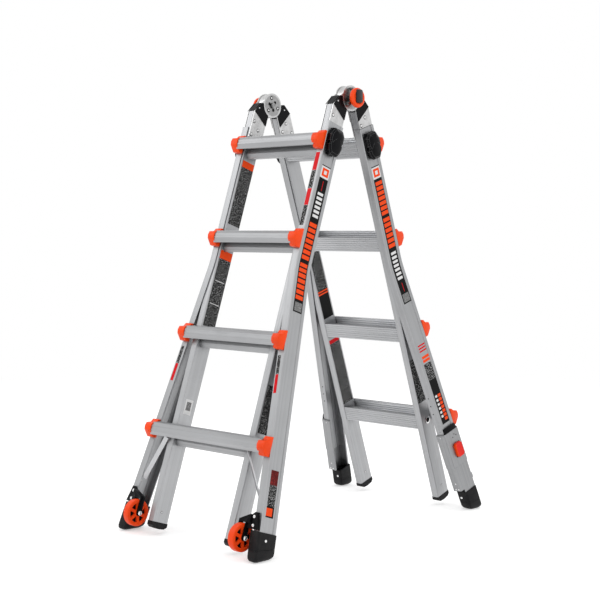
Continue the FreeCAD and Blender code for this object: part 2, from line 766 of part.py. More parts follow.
def leaf_rivets(section):
    """Rivets through each leaf: three on its inboard face, and two on the shorter outboard one."""
    spots = (("leafRivetOut", "leafRivetHigh"), ("leafRivetMid", "leafRivetHigh + leafRivetStep"),
             ("leafRivetOut", "leafRivetLow"))
    heads = []
    for side_name in SIDES:
        side = local_side(section, side_name)
        for face, x, shown in ((-side, "innerFace - plateThick", spots), (side, f"{TUBE_OUT} + plateThick", spots[:2])):
            where = "out" if face == side else "in"
            for i, (n, s) in enumerate(shown, 1):
                label = f"{section}_leaf_rivet_{side_name}_{where}_{i}"
                heads.append(rivet(label, f"{side} * ({x})", n, s, "+x" if face > 0 else "-x"))
    return heads


def hinge_barrel(side_name):
    side = local_side("front", side_name)
    body = new_body(f"hinge_barrel_{side_name}")
    plate_x(body, None, f"{side} * innerFace", "tubeWidth", side, circles=[("0", "0", "barrelRadius")])
    plate_x(body, None, f"{side} * (innerFace - 1)", "tubeWidth + 2", side, cut=True,
            circles=[("0", "0", "stemRadius + boreClear")])
    return body


CLIP = "(innerFace - plateThick - clipStand)"
SPIDER = f"({TUBE_OUT} + plateThick + spiderStand)"
KNOB_IN = f"({SPIDER} + spiderThick + knobStand)"


def hinge_pin_plate(side_name):
    """Stem through the hub with its retaining disc, and a three-armed plate that carries the lock pins."""
    side = local_side("front", side_name)
    body = new_body(f"hinge_pin_plate_{side_name}")
    profile = [
        (f"{CLIP} - clipThick", "0"),
        (f"{CLIP} - clipThick", "clipRadius"),
        (CLIP, "clipRadius"),
        (CLIP, "stemRadius"),
        (SPIDER, "stemRadius"),
        (SPIDER, "spiderHub"),
        (KNOB_IN, "spiderHub"),
        (KNOB_IN, "0"),
    ]
    turn(body, on_side(side, profile))
    for n, s, radius in pin_spots("pinRadius"):
        arm = [(f"{n} * {a} + ({s}) * {b} * 0.2", f"({s}) * {a} - ({n}) * {b} * 0.2") for a, b in
               ((0.2, 1), (1.15, 1), (1.15, -1), (0.2, -1))]
        plate_x(body, arm, f"{side} * {SPIDER}", "spiderThick", side)
        plate_x(body, None, f"{side} * ({SPIDER} - pinStub)", "pinStub + 1", side, circles=[(n, s, radius)])
    return body


def hinge_knob(side_name):
    """Round push knob with a soft outer edge and a shallow dish in its face."""
    side = local_side("front", side_name)
    body = new_body(f"hinge_knob_{side_name}")
    profile = [
        (KNOB_IN, "0"),
        (KNOB_IN, "knobRadius - 1.5"),
        (f"{KNOB_IN} + 1.5", "knobRadius"),
        (f"{KNOB_IN} + 0.62 * knobThick", "knobRadius"),
        (f"{KNOB_IN} + 0.86 * knobThick", "knobRadius - 2"),
        (f"{KNOB_IN} + knobThick", "knobRadius - 6"),
        (f"{KNOB_IN} + knobThick", "knobRadius - 9"),
        (f"{KNOB_IN} + 0.88 * knobThick", "knobRadius - 11"),
        (f"{KNOB_IN} + 0.88 * knobThick", "0"),
    ]
    turn(body, on_side(side, profile))
    return body


# ---------------------------------------------------------------- rung locks
LOCK_TOP, LOCK_BOTTOM = "(firstRung - lockUp)", "(firstRung + lockDown)"
LOCK_NEAR, LOCK_FAR = f"({MID} - lockDeep / 2)", f"({MID} + lockDeep / 2)"
LOCK_OUTLINE = [
    (f"{LOCK_NEAR} + 0.19 * lockDeep", LOCK_TOP),
    (f"{LOCK_FAR} - 0.22 * lockDeep", LOCK_TOP),
    (LOCK_FAR, f"{LOCK_TOP} + 0.41 * lockDeep"),
    (LOCK_FAR, f"{LOCK_BOTTOM} - 0.47 * lockDeep"),
    (f"{LOCK_FAR} - 0.25 * lockDeep", LOCK_BOTTOM),
    (f"{LOCK_NEAR} + 0.41 * lockDeep", LOCK_BOTTOM),
    (LOCK_NEAR, f"{LOCK_BOTTOM} - 0.56 * lockDeep"),
    (LOCK_NEAR, f"{LOCK_TOP} + 0.25 * lockDeep"),
]
PIVOT_X, PIVOT_S = f"({CHANNEL_OUT} + lockBase + pivotLift)", "(firstRung + rockerPivot)"
LUGS = (f"({MID} - lugSpread - lugThick)", f"({MID} + lugSpread)")


def lock_housing(section, side_name):
    """Eight-sided base on the rail's web, with two lugs that hold the rocker's rod and a bore for the lock pin."""
    side = local_side(section, side_name)
    body = new_body(f"{section}_lock_housing_{side_name}")
    plate_x(body, LOCK_OUTLINE, f"{side} * {CHANNEL_OUT}", "lockBase", side)
    foot = f"({CHANNEL_OUT} + lockBase - 1)"
    post = rectangle(foot, PIVOT_X, f"{PIVOT_S} - lugRadius", f"{PIVOT_S} + lugRadius")
    for lug in LUGS:
        plate_n(body, on_side(side, post), lug, "lugThick")
        plate_n(body, None, lug, "lugThick", circles=[(f"{side} * {PIVOT_X}", PIVOT_S, "lugRadius")])
    plate_n(body, None, f"({LUGS[0]} + 1)", "2 * (lugSpread + lugThick) - 2",
            circles=[(f"{side} * {PIVOT_X}", PIVOT_S, "pivotRadius")])
    plate_x(body, None, f"{side} * ({CHANNEL_OUT} - 1)", "lockBase + 2", side, cut=True,
            circles=[(MID, "firstRung", "lockPinRadius + lockPinClear")])
    return body


def lock_rocker(section, side_name):
    """Crowned rocker over the base, slotted for the lugs; pressing its lower half draws the lock pin."""
    side = local_side(section, side_name)
    body = new_body(f"{section}_rock_lock_{side_name}")
    inner = f"({CHANNEL_OUT} + lockBase + rockerGap)"
    crown = f"({inner} + rockerRise)"
    top, bottom = f"({LOCK_TOP} + lockEdge)", f"({LOCK_BOTTOM} - lockEdge)"
    swing = f"(({bottom} - {PIVOT_S}) * tan(rockerAngle))"
    section_view = [
        (inner, top), (f"{crown} - 0.55 * rockerRise", top), (f"{crown} - 0.2 * rockerRise", f"{top} + 0.25 * lockUp"),
        (f"{crown} - 0.06 * rockerRise", "firstRung"), (crown, f"{PIVOT_S} + 0.2 * lockDown"),
        (f"{crown} - 0.15 * rockerRise", bottom), (f"{inner} + {swing}", bottom), (inner, PIVOT_S),
    ]
    near, far = f"({LOCK_NEAR} + lockEdge)", f"({LOCK_FAR} - lockEdge)"
    width = f"({far} - {near})"
    plate_n(body, on_side(side, section_view), near, width)
    rise = "(rockerRise - rockerEdge)"
    arch = [(0, 0), (0.45, 0.06), (0.8, 0.2), (0.97, 0.38), (1.05, 0.5), (0.97, 0.62), (0.8, 0.8), (0.45, 0.94), (0, 1)]
    edge = f"({inner} + rockerEdge)"
    outline = [(f"{edge} + {a} * {rise}", f"{near} + {b} * {width}") for a, b in arch]
    outline += [(edge, f"{far} + 2"), (f"{crown} + 6", f"{far} + 2"), (f"{crown} + 6", f"{near} - 2"),
                (edge, f"{near} - 2")]
    bar_s(body, on_side(side, outline), f"({top} - 2)", f"{bottom} - {top} + 4", cut=True)
    frame = rectangle(f"{LOCK_NEAR} - 4", f"{LOCK_FAR} + 4", f"{LOCK_TOP} - 4", f"{LOCK_BOTTOM} + 4")
    sketch = new_sketch(body, "YZ_Plane", f"{side} * ({inner} - 2)")
    for corners in (frame, inset(LOCK_OUTLINE, "lockEdge")):
        draw_outline(sketch, out_down(corners))
    grow(body, sketch, "rockerRise + 8", side, cut=True)
    slot_half = "(lugRadius + 2 * lugClear)"
    slot = rectangle(f"{inner} - 2", f"{PIVOT_X} + {slot_half}", f"{PIVOT_S} - {slot_half}", f"{PIVOT_S} + {slot_half}")
    for lug in LUGS:
        plate_n(body, on_side(side, slot), f"({lug} - lugClear)", "lugThick + 2 * lugClear", cut=True)
    plate_n(body, None, LUGS[0], "2 * (lugSpread + lugThick)", cut=True,
            circles=[(f"{side} * {PIVOT_X}", PIVOT_S, "pivotRadius + pivotClear")])
    return body


def lock_pin(section, side_name):
    """Pin through the rail's web, drawn clear of the round rung end that it locks."""
    side = local_side(section, side_name)
    body = new_body(f"{section}_lock_pin_{side_name}")
    tip = f"({TUBE_OUT} + socketOut + lockPinStand)"
    end = f"({CHANNEL_OUT} + lockBase - lockPinSink)"
    profile = [(tip, "0"), (tip, "lockPinRadius - 1.5"), (f"{tip} + 1.5", "lockPinRadius"), (end, "lockPinRadius"),
               (end, "0")]
    turn(body, on_side(side, profile))
    return body


# ---------------------------------------------------------------- feet
def rail_insert(section, side_name):
    """Curved foot plugged into the end of an inner rail."""
    side = local_side(section, side_name)
    body = new_body(f"{section}_inner_foot_{side_name}")
    tip = "(tubeEnd + insertHigh)"
    curve = [
        ("tubeNear", "tubeEnd"), (TUBE_FAR, "tubeEnd"), (TUBE_FAR, f"{tip} - 9"), (f"{TUBE_FAR} - 8", f"{tip} - 2"),
        (MID, tip), ("tubeNear + 10", f"{tip} - 2"), ("tubeNear", f"{tip} - 9"),
    ]
    plate_x(body, curve, f"{side} * innerFace", "tubeWidth", side)
    gap = "(tubeWall + insertClear)"
    plug = rectangle(f"{side} * (innerFace + {gap})", f"{side} * ({TUBE_OUT} - {gap})", f"tubeNear + {gap}",
                     f"{TUBE_FAR} - {gap}")
    bar_s(body, plug, "tubeEnd - insertSink", "insertSink + 1")
    return body


def leg_line(s, offset="0"):
    """A line along the flared leg, offset outwards across it from the channel's inboard edge."""
    return f"(channelIn + (({s}) - bendAt) * tan(flareAngle) + ({offset}) / cos(flareAngle))"


def boot(body, side, top, near, far, inboard, outboard):
    """Rubber boot: an upper block along the leg and a convex sole that follows the floor."""
    join = f"({top} + bootBlock)"
    block = [
        (leg_line(top, f"-({inboard})"), top), (leg_line(top, outboard), top),
        (leg_line(join, outboard), join), (leg_line(join, f"-({inboard})"), join),
    ]
    plate_n(body, on_side(side, block), near, f"{far} - ({near})")
    floor = floor_at(near)
    start = f"({top} + bootRound)"
    middle = f"({leg_line(floor, f'({outboard} - ({inboard})) / 2')})"
    sole = [
        (leg_line(start, f"-({inboard})"), start), (leg_line(start, outboard), start),
        (leg_line(f"{floor} - soleCurl", f"{outboard} + soleFlare"), f"{floor} - soleCurl"),
        (f"{middle} + 0.85 * soleFlat", f"{floor} - soleCurl / 4"),
        (f"{middle} + soleFlat / 2", floor), (f"{middle} - soleFlat / 2", floor),
        (f"{middle} - 0.85 * soleFlat", f"{floor} - soleCurl / 4"),
        (leg_line(f"{floor} - soleCurl", f"-({inboard}) - soleFlare"), f"{floor} - soleCurl"),
    ]
    sketch = new_sketch(body, "XZ_Plane", near)
    draw_outline(sketch, across_down(on_side(side, sole)))
    pad = grow(body, sketch, f"{far} - ({near})")
    pad.UseCustomVector = True
    pad.setExpression("Direction.x", link(f"{side} * tan(tilt) * tan(flareAngle)"))
    pad.setExpression("Direction.y", "-1")
    pad.setExpression("Direction.z", link("-tan(tilt)"))
    doc.recompute()


def front_foot(side_name):
    """Boot over the end of a front outer rail."""
    side = local_side("front", side_name)
    body = new_body(f"front_foot_{side_name}")
    boot(body, side, "bootTop", "bootNear", "bootFar", "bootIn", "channelWidth + bootOut")
    end = "frontChannelEnd"
    high = "(bootTop - 5)"
    seat_of_rail = [
        (leg_line(high), high), (leg_line(high, "channelWidth"), high),
        (f"({leg_line(end)} + channelWidth * cos(flareAngle))", f"({end} - channelWidth * sin(flareAngle))"),
        (leg_line(end), end),
    ]
    plate_n(body, on_side(side, seat_of_rail), CHANNEL_NEAR, f"{CHANNEL_FAR} - {CHANNEL_NEAR}",
            cut=True)
    return body


# ---------------------------------------------------------------- tip wheels and braces
WHEEL_NEAR, WHEEL_FAR = "(wheelAcross - wheelWidth / 2 - forkGap)", "(wheelAcross + wheelWidth / 2 + forkGap)"


def wheel(side_name):
    """Moulded wheel with a raised rim and hub and round openings in its web."""
    side = local_side("front", side_name)
    body = new_body(f"wheel_{side_name}")
    bore = "(axleRadius + axleClear)"
    rim = "(wheelRadius - wheelRim)"
    half = [
        ("wheelWidth / 2", bore), ("wheelWidth / 2", "wheelHub"), ("wheelWidth / 2 - wheelDish", "wheelHub + 2"),
        ("wheelWidth / 2 - wheelDish", f"{rim} - 1"), ("wheelWidth / 2", rim), ("wheelWidth / 2", "wheelRadius - 3"),
        ("wheelWidth / 2 - 3", "wheelRadius"),
    ]
    turn(body, half + [(f"-({x})", r) for x, r in half[::-1]])
    spot = "((wheelHub + 2 + wheelRadius - wheelRim - 1) / 2)"
    hole = f"({rim} - 1 - wheelHub - 2) / 2 - wheelHoleClear"
    holes = [(f"{spot} * cos({i} * 360 / wheelHoles)", f"{spot} * sin({i} * 360 / wheelHoles)", hole)
             for i in range(SIZES["wheelHoles"])]
    plate_x(body, None, "-wheelWidth", "2 * wheelWidth", cut=True, circles=holes)
    return body, side


BRACKET_TOP, BRACKET_FOOT = "(wheelDown - bracketHigh)", "(bootTop - 3)"


def wheel_bracket(side_name):
    """Bracket on the front flange with a hood over the wheel, two fork arms and the axle bolt."""
    side = local_side("front", side_name)
    body = new_body(f"wheel_bracket_{side_name}")
    inner_arm, wing = f"({WHEEL_NEAR} - forkThick)", f"({WHEEL_FAR} + forkThick)"
    hood_foot = "(wheelDown - wheelRadius - hoodClear)"
    flange = [
        (f"{wing} - 1", f"{hood_foot} - 16"), (leg_line(BRACKET_TOP, "8"), BRACKET_TOP),
        (leg_line(BRACKET_TOP, "13"), BRACKET_TOP), (leg_line(BRACKET_FOOT, "21"), f"{BRACKET_FOOT} - 3"),
        (leg_line(BRACKET_FOOT, "21"), BRACKET_FOOT), (f"{wing} - 1", BRACKET_FOOT),
    ]
    plate_n(body, on_side(side, flange), CHANNEL_FAR, "mountRise")
    hood = [
        (leg_line(f"{BRACKET_TOP} + 8", "-4"), f"{BRACKET_TOP} + 8"), (leg_line(hood_foot, "-4"), hood_foot),
        (inner_arm, hood_foot), (inner_arm, f"{hood_foot} - 7"),
    ]
    plate_n(body, on_side(side, hood), CHANNEL_FAR, "mountRise + hoodReach")
    arm = [
        (CHANNEL_FAR, f"{hood_foot} - 4"), (f"{CHANNEL_FAR} + mountRise + hoodReach", f"{hood_foot} - 4"),
        ("wheelOut + forkWide / 2", "wheelDown"), ("wheelOut - forkWide / 2", "wheelDown"),
    ]
    hinge_end = [("wheelOut", "wheelDown", "forkWide / 2")]
    for start in (inner_arm, WHEEL_FAR):
        plate_x(body, arm, f"{side} * ({start})", "forkThick", side)
        plate_x(body, None, f"{side} * ({start})", "forkThick", side, circles=hinge_end)
    plate_x(body, None, f"{side} * ({WHEEL_NEAR} - 1)", "wheelWidth + 2 * forkGap + 2", side,
            circles=[("wheelOut", "wheelDown", "axleRadius")])
    bolt = [("wheelOut", "wheelDown", "boltHead")]
    plate_x(body, None, f"{side} * ({inner_arm} - boltRise)", "boltRise + 1", side, circles=bolt)
    plate_x(body, None, f"{side} * ({wing} - 1)", "boltRise + 1", side, circles=bolt)
    return body


BRACE_FOOT = f"({rung_line(3)} + braceDrop)"
BRACE_N = f"({CHANNEL_FAR} - channelWall - braceThick)"


def rung_brace(side_name):
    """Flat strap from the underside of the lowest outer rung into the channel, against its front flange."""
    side = local_side("front", side_name)
    body = new_body(f"front_rung_brace_{side_name}")
    under = f"({rung_line(3)} - outerRungRise + outerRungHigh)"

    def below(out):
        return f"({under} + ({out}) * {RUNG_SLOPE})"

    back, end = CHANNEL_FAR, f"({BRACE_FOOT} + braceFoot)"
    turn_at = f"({under} + braceTurn)"
    strap = [
        (f"{back} + 4", below("4")), (f"{back} + 20", below("20")), (f"{back} + 20", f"{below('20')} + braceThick"),
        (f"{BRACE_N} + braceThick", turn_at), (f"{BRACE_N} + braceThick", end), (BRACE_N, end), (BRACE_N, turn_at),
        (f"{back} + 17", f"{below('17')} + braceThick"), (f"{back} + 4", f"{below('4')} + braceThick"),
    ]
    inner, outer = "(braceTop - braceWide / 2)", f"({leg_line(end, 'braceIn')})"
    plate_x(body, strap, f"{side} * ({inner} - 1)", f"{outer} - {inner} + 2", side)
    head = f"({under} - 4)"
    kept = [
        (inner, head), (f"{inner} + braceWide", head), (f"{inner} + braceWide + 2", f"{head} + 16"),
        (leg_line(BRACE_FOOT, "0"), f"{BRACE_FOOT} - 6"), (f"{outer} - 1", f"{BRACE_FOOT} + 6"), (outer, end),
        (f"{outer} - 16", end), (f"{outer} - 21", f"{BRACE_FOOT} + 12"), (inner, f"{head} + 22"),
    ]
    window = rectangle(f"{inner} - 10", f"{outer} + 10", f"{head} - 10", f"{end} + 12")
    sketch = new_sketch(body, "XZ_Plane", back)
    for outline in (window, kept):
        draw_outline(sketch, across_down(on_side(side, outline)))
    grow(body, sketch, "60", cut=True, middle=True)
    return body


# ---------------------------------------------------------------- levelers on the rear legs
SKIN_OUT = "(channelWidth + levelGap + levelSkin)"
SKIN_IN = "(-levelGap - levelSkin)"
SKIN_NEAR = f"({CHANNEL_NEAR} - levelGap - levelSkin)"
SKIN_FAR = f"({CHANNEL_FAR} + levelGap + levelSkin)"
BULGE_OUT, BULGE_FAR = f"({SKIN_OUT} + levelBulge)", f"({SKIN_FAR} + levelBack)"
BUTTON_LOW = "(buttonTop + buttonHigh)"
BUTTON_NEAR, BUTTON_FAR = (f"({MID} + buttonShift {sign} buttonWide / 2)" for sign in "-+")


def leveler_leg(side_name):
    """Sleeve that slides on the flared leg: a deep head around the release button, then a plain channel."""
    side = local_side("rear", side_name)
    body = new_body(f"leveler_leg_{side_name}")
    head = [
        (SKIN_IN, SKIN_NEAR), (f"{BULGE_OUT} - 3", SKIN_NEAR), (BULGE_OUT, f"{SKIN_NEAR} + 5"),
        (BULGE_OUT, f"{BULGE_FAR} - 9"), (f"{BULGE_OUT} - 9", BULGE_FAR), (f"{SKIN_IN} + 6", BULGE_FAR),
        (SKIN_IN, f"{BULGE_FAR} - 6"),
    ]
    bar_s(body, on_side(side, head), "levelTop", "levelWrap - levelTop")
    lower = rectangle(SKIN_IN, SKIN_OUT, SKIN_NEAR, SKIN_FAR)
    bar_s(body, on_side(side, lower), "(levelWrap - 5)", "levelEnd - levelWrap + 5")
    hollow = rectangle("-levelGap", "channelWidth + levelGap", f"{CHANNEL_NEAR} - levelGap", f"{CHANNEL_FAR} + levelGap")
    bar_s(body, on_side(side, hollow), "(levelTop - 2)", "levelEnd - levelTop + 4", cut=True)
    mouth = rectangle(f"{SKIN_IN} - 2", "levelLip", f"{CHANNEL_NEAR} + channelWall", f"{CHANNEL_FAR} - channelWall")
    bar_s(body, on_side(side, mouth), "(levelTop - 2)", "levelEnd - levelTop + 4", cut=True)
    well = rectangle(f"{BUTTON_NEAR} - levelGap", f"{BUTTON_FAR} + levelGap", "buttonTop - levelGap",
                     f"{BUTTON_LOW} + levelGap")
    plate_x(body, well, f"{side} * {SKIN_OUT}", "2 * levelBulge", side, cut=True)
    spots = [(f"{MID} + {dn}", f"levelTop + {ds}", "dotRadius") for dn, ds in ((8, 14), (16, 20), (-2, 22))]
    plate_x(body, None, f"{side} * ({BULGE_OUT} - 2)", "2 * levelBulge", side, cut=True, circles=spots)
    heel = rectangle(f"({SKIN_NEAR} - 2)", "(rearBootNear + bootWall)", "(levelEnd - levelHeel)", "(levelEnd + 2)")
    plate_x(body, heel, f"{side} * ({SKIN_IN} - 2)", f"{SKIN_OUT} - {SKIN_IN} + 4", side, cut=True)
    tab_top = "(levelEnd - tabRise)"
    tab = rectangle("tabIn", "tabIn + tabWide", tab_top, f"{tab_top} + tabHigh")
    plate_n(body, on_side(side, tab), f"({SKIN_FAR} - 1)", "tabOut + 1")
    return body, side


def cut_corners(near, far, low, high, corner):
    """Rectangle with its four corners cut off."""
    return [
        (f"{near} + {corner}", low), (f"{far} - {corner}", low), (far, f"{low} + {corner}"),
        (far, f"{high} - {corner}"), (f"{far} - {corner}", high), (f"{near} + {corner}", high),
        (near, f"{high} - {corner}"), (near, f"{low} + {corner}"),
    ]


def leveler_button(side_name):
    """Release button in the well of the sleeve's head."""
    side = local_side("rear", side_name)
    body = new_body(f"leveler_button_{side_name}")
    face = cut_corners(BUTTON_NEAR, BUTTON_FAR, "buttonTop", BUTTON_LOW, "buttonCorner")
    start = f"({SKIN_OUT} + buttonTravel + levelGap)"
    plate_x(body, face, f"{side} * {start}", "levelBulge + buttonRise - buttonTravel", side)
    outer = f"{SKIN_OUT} + levelGap + levelBulge + buttonRise"
    round_edges(body, "1.5", lambda e: on_face(e, outer), chamfer=True)
    return body, side


def on_face(edge, across):
    """Whether an edge lies in the plane at a distance across from the body's own middle."""
    return all(abs(abs(v.Point.x) - number(across)) < 0.01 for v in edge.Vertexes)


def leveler_foot(side_name):
    """Boot on the end of the sliding sleeve."""
    side = local_side("rear", side_name)
    body = new_body(f"leveler_foot_{side_name}")
    boot(body, side, "rearBootTop", "rearBootNear", "bootFar", "bootIn", f"{SKIN_OUT} + bootWall")
    drop, high = "(levelEnd * cos(flareAngle) + bendAt)", "(rearBootTop - 5)"
    sleeve = [
        (leg_line(high, SKIN_IN), high), (leg_line(high, SKIN_OUT), high),
        (f"({leg_line(drop)} + {SKIN_OUT} * cos(flareAngle))", f"({drop} - {SKIN_OUT} * sin(flareAngle))"),
        (f"({leg_line(drop)} + {SKIN_IN} * cos(flareAngle))", f"({drop} - {SKIN_IN} * sin(flareAngle))"),
    ]
    near = "(rearBootNear + bootWall)"
    plate_n(body, on_side(side, sleeve), near, f"{SKIN_FAR} - {near}", cut=True)
    return body


def leveler_rack(side_name):
    """Toothed strip in the recess of the rail's web, under the sleeve."""
    side = local_side("rear", side_name)
    body = new_body(f"leveler_rack_{side_name}")
    root, tip = "(channelWidth - borderRise)", "(channelWidth - 0.1)"
    first = "levelTop + rackStart"
    rail_end = "(rearChannelEnd - bendAt) / cos(flareAngle) - rackStart"
    teeth = int(number(f"({rail_end} - ({first})) / rackTooth"))
    outline = [(root, first)]
    for i in range(teeth):
        start = f"({first} + {i} * rackTooth)"
        outline += [(tip, start), (f"{tip} - rackDepth", f"{start} + rackTooth")]
    outline.append((root, f"{first} + {teeth} * rackTooth"))
    plate_n(body, on_side(side, outline), f"({MID} - rackWide / 2)", "rackWide")
    return body, side


def leveler_stop(side_name):
    """Wedge across the rail's web just above the sleeve."""
    side = local_side("rear", side_name)
    body = new_body(f"leveler_stop_{side_name}")
    high = "(levelTop - stopClear)"
    low = f"({high} - stopHigh)"
    wedge = [("channelWidth", low), ("channelWidth + stopRise - stopSlant", low), ("channelWidth + stopRise", high),
             ("channelWidth", high)]
    plate_n(body, on_side(side, wedge), f"({MID} - stopWide / 2)", "stopWide")
    return body, side


# ---------------------------------------------------------------- assembly
for section in SECTIONS:
    place = PLACEMENTS[section]
    for side_name in SIDES:
        add_node(outer_rail(section, side_name), place)
        add_node(inner_rail(section, side_name), place)
    for k in range(4):
        add_node(outer_rung(section, k), place)
    caps = [rung_end_cap(section, k, side) for k in range(4) for side in SIDES.values()]
    add_node(group(f"{section}_rung_end_caps", caps), place)
    add_node(group(f"{section}_inner_rungs", [inner_rung(section, k) for k in range(4)]), place)
    add_node(group(f"{section}_inner_feet", [rail_insert(section, name) for name in SIDES]), place)
    add_node(group(f"{section}_lock_housings", [lock_housing(section, name) for name in SIDES]), place)
    add_node(group(f"{section}_hinge_covers", [hinge_cover(section, name) for name in SIDES]), place)
    add_node(group(f"{section}_inner_rivets", leaf_rivets(section)), place)
    for side_name in SIDES:
        add_node(lock_rocker(section, side_name), place)
        add_node(lock_pin(section, side_name), f"{place} * {moved('0', MID, 'firstRung')}")

front, rear = PLACEMENTS["front"], PLACEMENTS["rear"]
for side_name in SIDES:
    add_node(front_leaf(side_name), front)
    add_node(rear_leaf(side_name), rear)
    add_node(hinge_knob(side_name), front)
    add_node(hinge_pin_plate(side_name), front)
    add_node(front_foot(side_name), front)
    body, side = wheel(side_name)
    add_node(body, f"{front} * {moved(f'{side} * wheelAcross', 'wheelOut', 'wheelDown')}")
    add_node(wheel_bracket(side_name), front)
    for make in (leveler_leg, leveler_button):
        body, side = make(side_name)
        add_node(body, flare_placement("rear", side))
    add_node(leveler_foot(side_name), rear)
add_node(group("hinge_barrels", [hinge_barrel(name) for name in SIDES]), front)
add_node(group("front_rung_braces", [rung_brace(name) for name in SIDES]), front)

fixed = []
for make in (leveler_rack, leveler_stop):
    for side_name in SIDES:
        body, side = make(side_name)
        seat(body, flare_placement("rear", side))
        fixed.append(body)
add_node(group("rear_leveler_fixings", fixed), "create(<<placement>>; create(<<vector>>; 0; 0; 0); "
         "create(<<rotation>>; create(<<vector>>; 0; 0; 1); 0))")

bolts = []
for side_name in SIDES:
    side = local_side("front", side_name)
    plate_face = f"{CHANNEL_FAR} + mountRise"
    for label, x_from_edge, n, s, facing in (
        ("bracket_rivet_upper", "4", plate_face, "wheelDown - 62", "+n"),
        ("bracket_rivet_lower", "3", plate_face, "wheelDown - 38", "+n"),
        ("brace_rivet", "braceIn - 6", BRACE_N, f"{BRACE_FOOT} + 22", "-n"),
    ):
        bolts.append(rivet(f"{label}_{side_name}", f"{side} * ({leg_line(s, x_from_edge)})", n, s, facing))
add_node(group("front_outer_rivets", bolts), front)

# ---------------------------------------------------------------- checks and export
doc.recompute()
for item in doc.Objects:
    if "Invalid" in item.State or "Error" in item.State:
        raise RuntimeError(f"{item.Label} is {item.State}")
for node in NODES:
    if node.Shape.isNull() or not node.Shape.isValid():
        raise RuntimeError(f"{node.Label} has no sound shape")
os.makedirs("parts", exist_ok=True)
for node in NODES:
    node.Shape.exportStep(os.path.join("parts", f"{node.Label}.step"))
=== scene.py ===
import itertools
import json
import math
from contextlib import contextmanager

import bmesh
import bpy
from mathutils import Matrix, Vector


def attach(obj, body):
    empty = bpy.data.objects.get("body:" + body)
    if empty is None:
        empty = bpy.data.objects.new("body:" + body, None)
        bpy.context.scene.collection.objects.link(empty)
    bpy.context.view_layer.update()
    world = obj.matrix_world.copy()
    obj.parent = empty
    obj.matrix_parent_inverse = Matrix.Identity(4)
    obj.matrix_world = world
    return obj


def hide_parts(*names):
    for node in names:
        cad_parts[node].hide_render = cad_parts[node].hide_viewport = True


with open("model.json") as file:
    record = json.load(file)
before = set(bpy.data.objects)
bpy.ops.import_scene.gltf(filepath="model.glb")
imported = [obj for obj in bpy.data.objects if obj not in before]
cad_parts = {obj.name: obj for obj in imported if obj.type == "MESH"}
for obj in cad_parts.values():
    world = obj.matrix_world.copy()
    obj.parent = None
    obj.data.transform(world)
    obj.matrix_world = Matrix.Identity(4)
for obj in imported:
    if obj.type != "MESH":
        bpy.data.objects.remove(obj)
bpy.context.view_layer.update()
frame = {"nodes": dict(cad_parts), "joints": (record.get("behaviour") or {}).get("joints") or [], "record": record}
nodes = frame["nodes"]
joints = {joint["name"]: joint for joint in frame["joints"]}
bodyOf = {node: body for body, members in frame["record"]["behaviour"]["bodies"].items() for node in members}
scene = bpy.context.scene
print("frame loaded:", len(nodes), "nodes")

mm = 0.001

# Sizes in millimetres, as the sections are drawn: x across, n outwards, s down from the hinge.
ladder = {
    "tilt": 18.61,
    "flare": 7.6,
    "bendAt": 545.0,
    "bendRadius": 300.0,
    "channelIn": 160.8,
    "channelWidth": 25.5,
    "channelNear": 6.0,
    "channelFar": 70.0,
    "webRecess": 1.6,
    "tubeIn": 155.0,
    "tubeOut": 179.5,
    "middle": 38.0,             # n of the tubes' middle plane
    "plateThick": 3.5,
    "firstRung": 162.4,
    "rungPitch": 304.8,
    "rungCount": 4,
    "axle": (78.5, 1332.0),     # n and s of the wheels' axles
    "floorLine": 1383.4,        # s of the floor in the middle plane
}
tilt = math.radians(ladder["tilt"])
flare = math.radians(ladder["flare"])
hingeAt = Vector(joints["main_hinge"]["pos_m"])
sections = {
    name: {"down": Vector((0, way * math.sin(tilt), -math.cos(tilt))),
           "out": Vector((0, way * math.cos(tilt), math.sin(tilt)))}
    for name, way in (("front", -1), ("rear", 1))
}
sides = {"left": -1, "right": 1}
legs = [(section, sideName, side) for section in sections for sideName, side in sides.items()]
rungLines = [ladder["firstRung"] + k * ladder["rungPitch"] for k in range(ladder["rungCount"])]


def place(section, x, n, s):
    # a spot in a section's own frame, as a point of the ladder
    axes = sections[section]
    return Vector((x * mm, 0, 0)) + hingeAt + axes["out"] * (n * mm) + axes["down"] * (s * mm)


def facing(section, words, side):
    # direction that a head faces
    out, across = sections[section]["out"], Vector((side, 0, 0))
    return {"outboard": across, "inboard": -across, "climb": out, "under": -out}[words]


def railLine(s, offset):
    # a line along the outer rail, offset outwards from its inboard edge
    trim = ladder["bendRadius"] * math.tan(flare / 2)
    straightEnd = ladder["bendAt"] - trim
    if s <= straightEnd:
        return ladder["channelIn"] + offset, s
    centre = ladder["channelIn"] + ladder["bendRadius"]
    turned = (s - straightEnd) / ladder["bendRadius"]
    if turned < flare:
        reach = ladder["bendRadius"] - offset
        return centre - reach * math.cos(turned), straightEnd + reach * math.sin(turned)
    return legPoint((s - ladder["bendAt"]) / math.cos(flare), offset)


def legPoint(along, offset):
    # a spot on the flared leg, measured along it from the bend
    return (ladder["channelIn"] + along * math.sin(flare) + offset * math.cos(flare),
            ladder["bendAt"] + along * math.cos(flare) - offset * math.sin(flare))


def linked(name, data):
    thing = bpy.data.objects.new(name, data)
    scene.collection.objects.link(thing)
    return thing


view = {
    "at": (2.80146, -2.93065, 0.89883),     # y is measured from the hinge
    "yaw": 44.01,
    "pitch": -2.99,
    "roll": 0.07,
    "focal": 78.14,
    "sensor": 36,
}


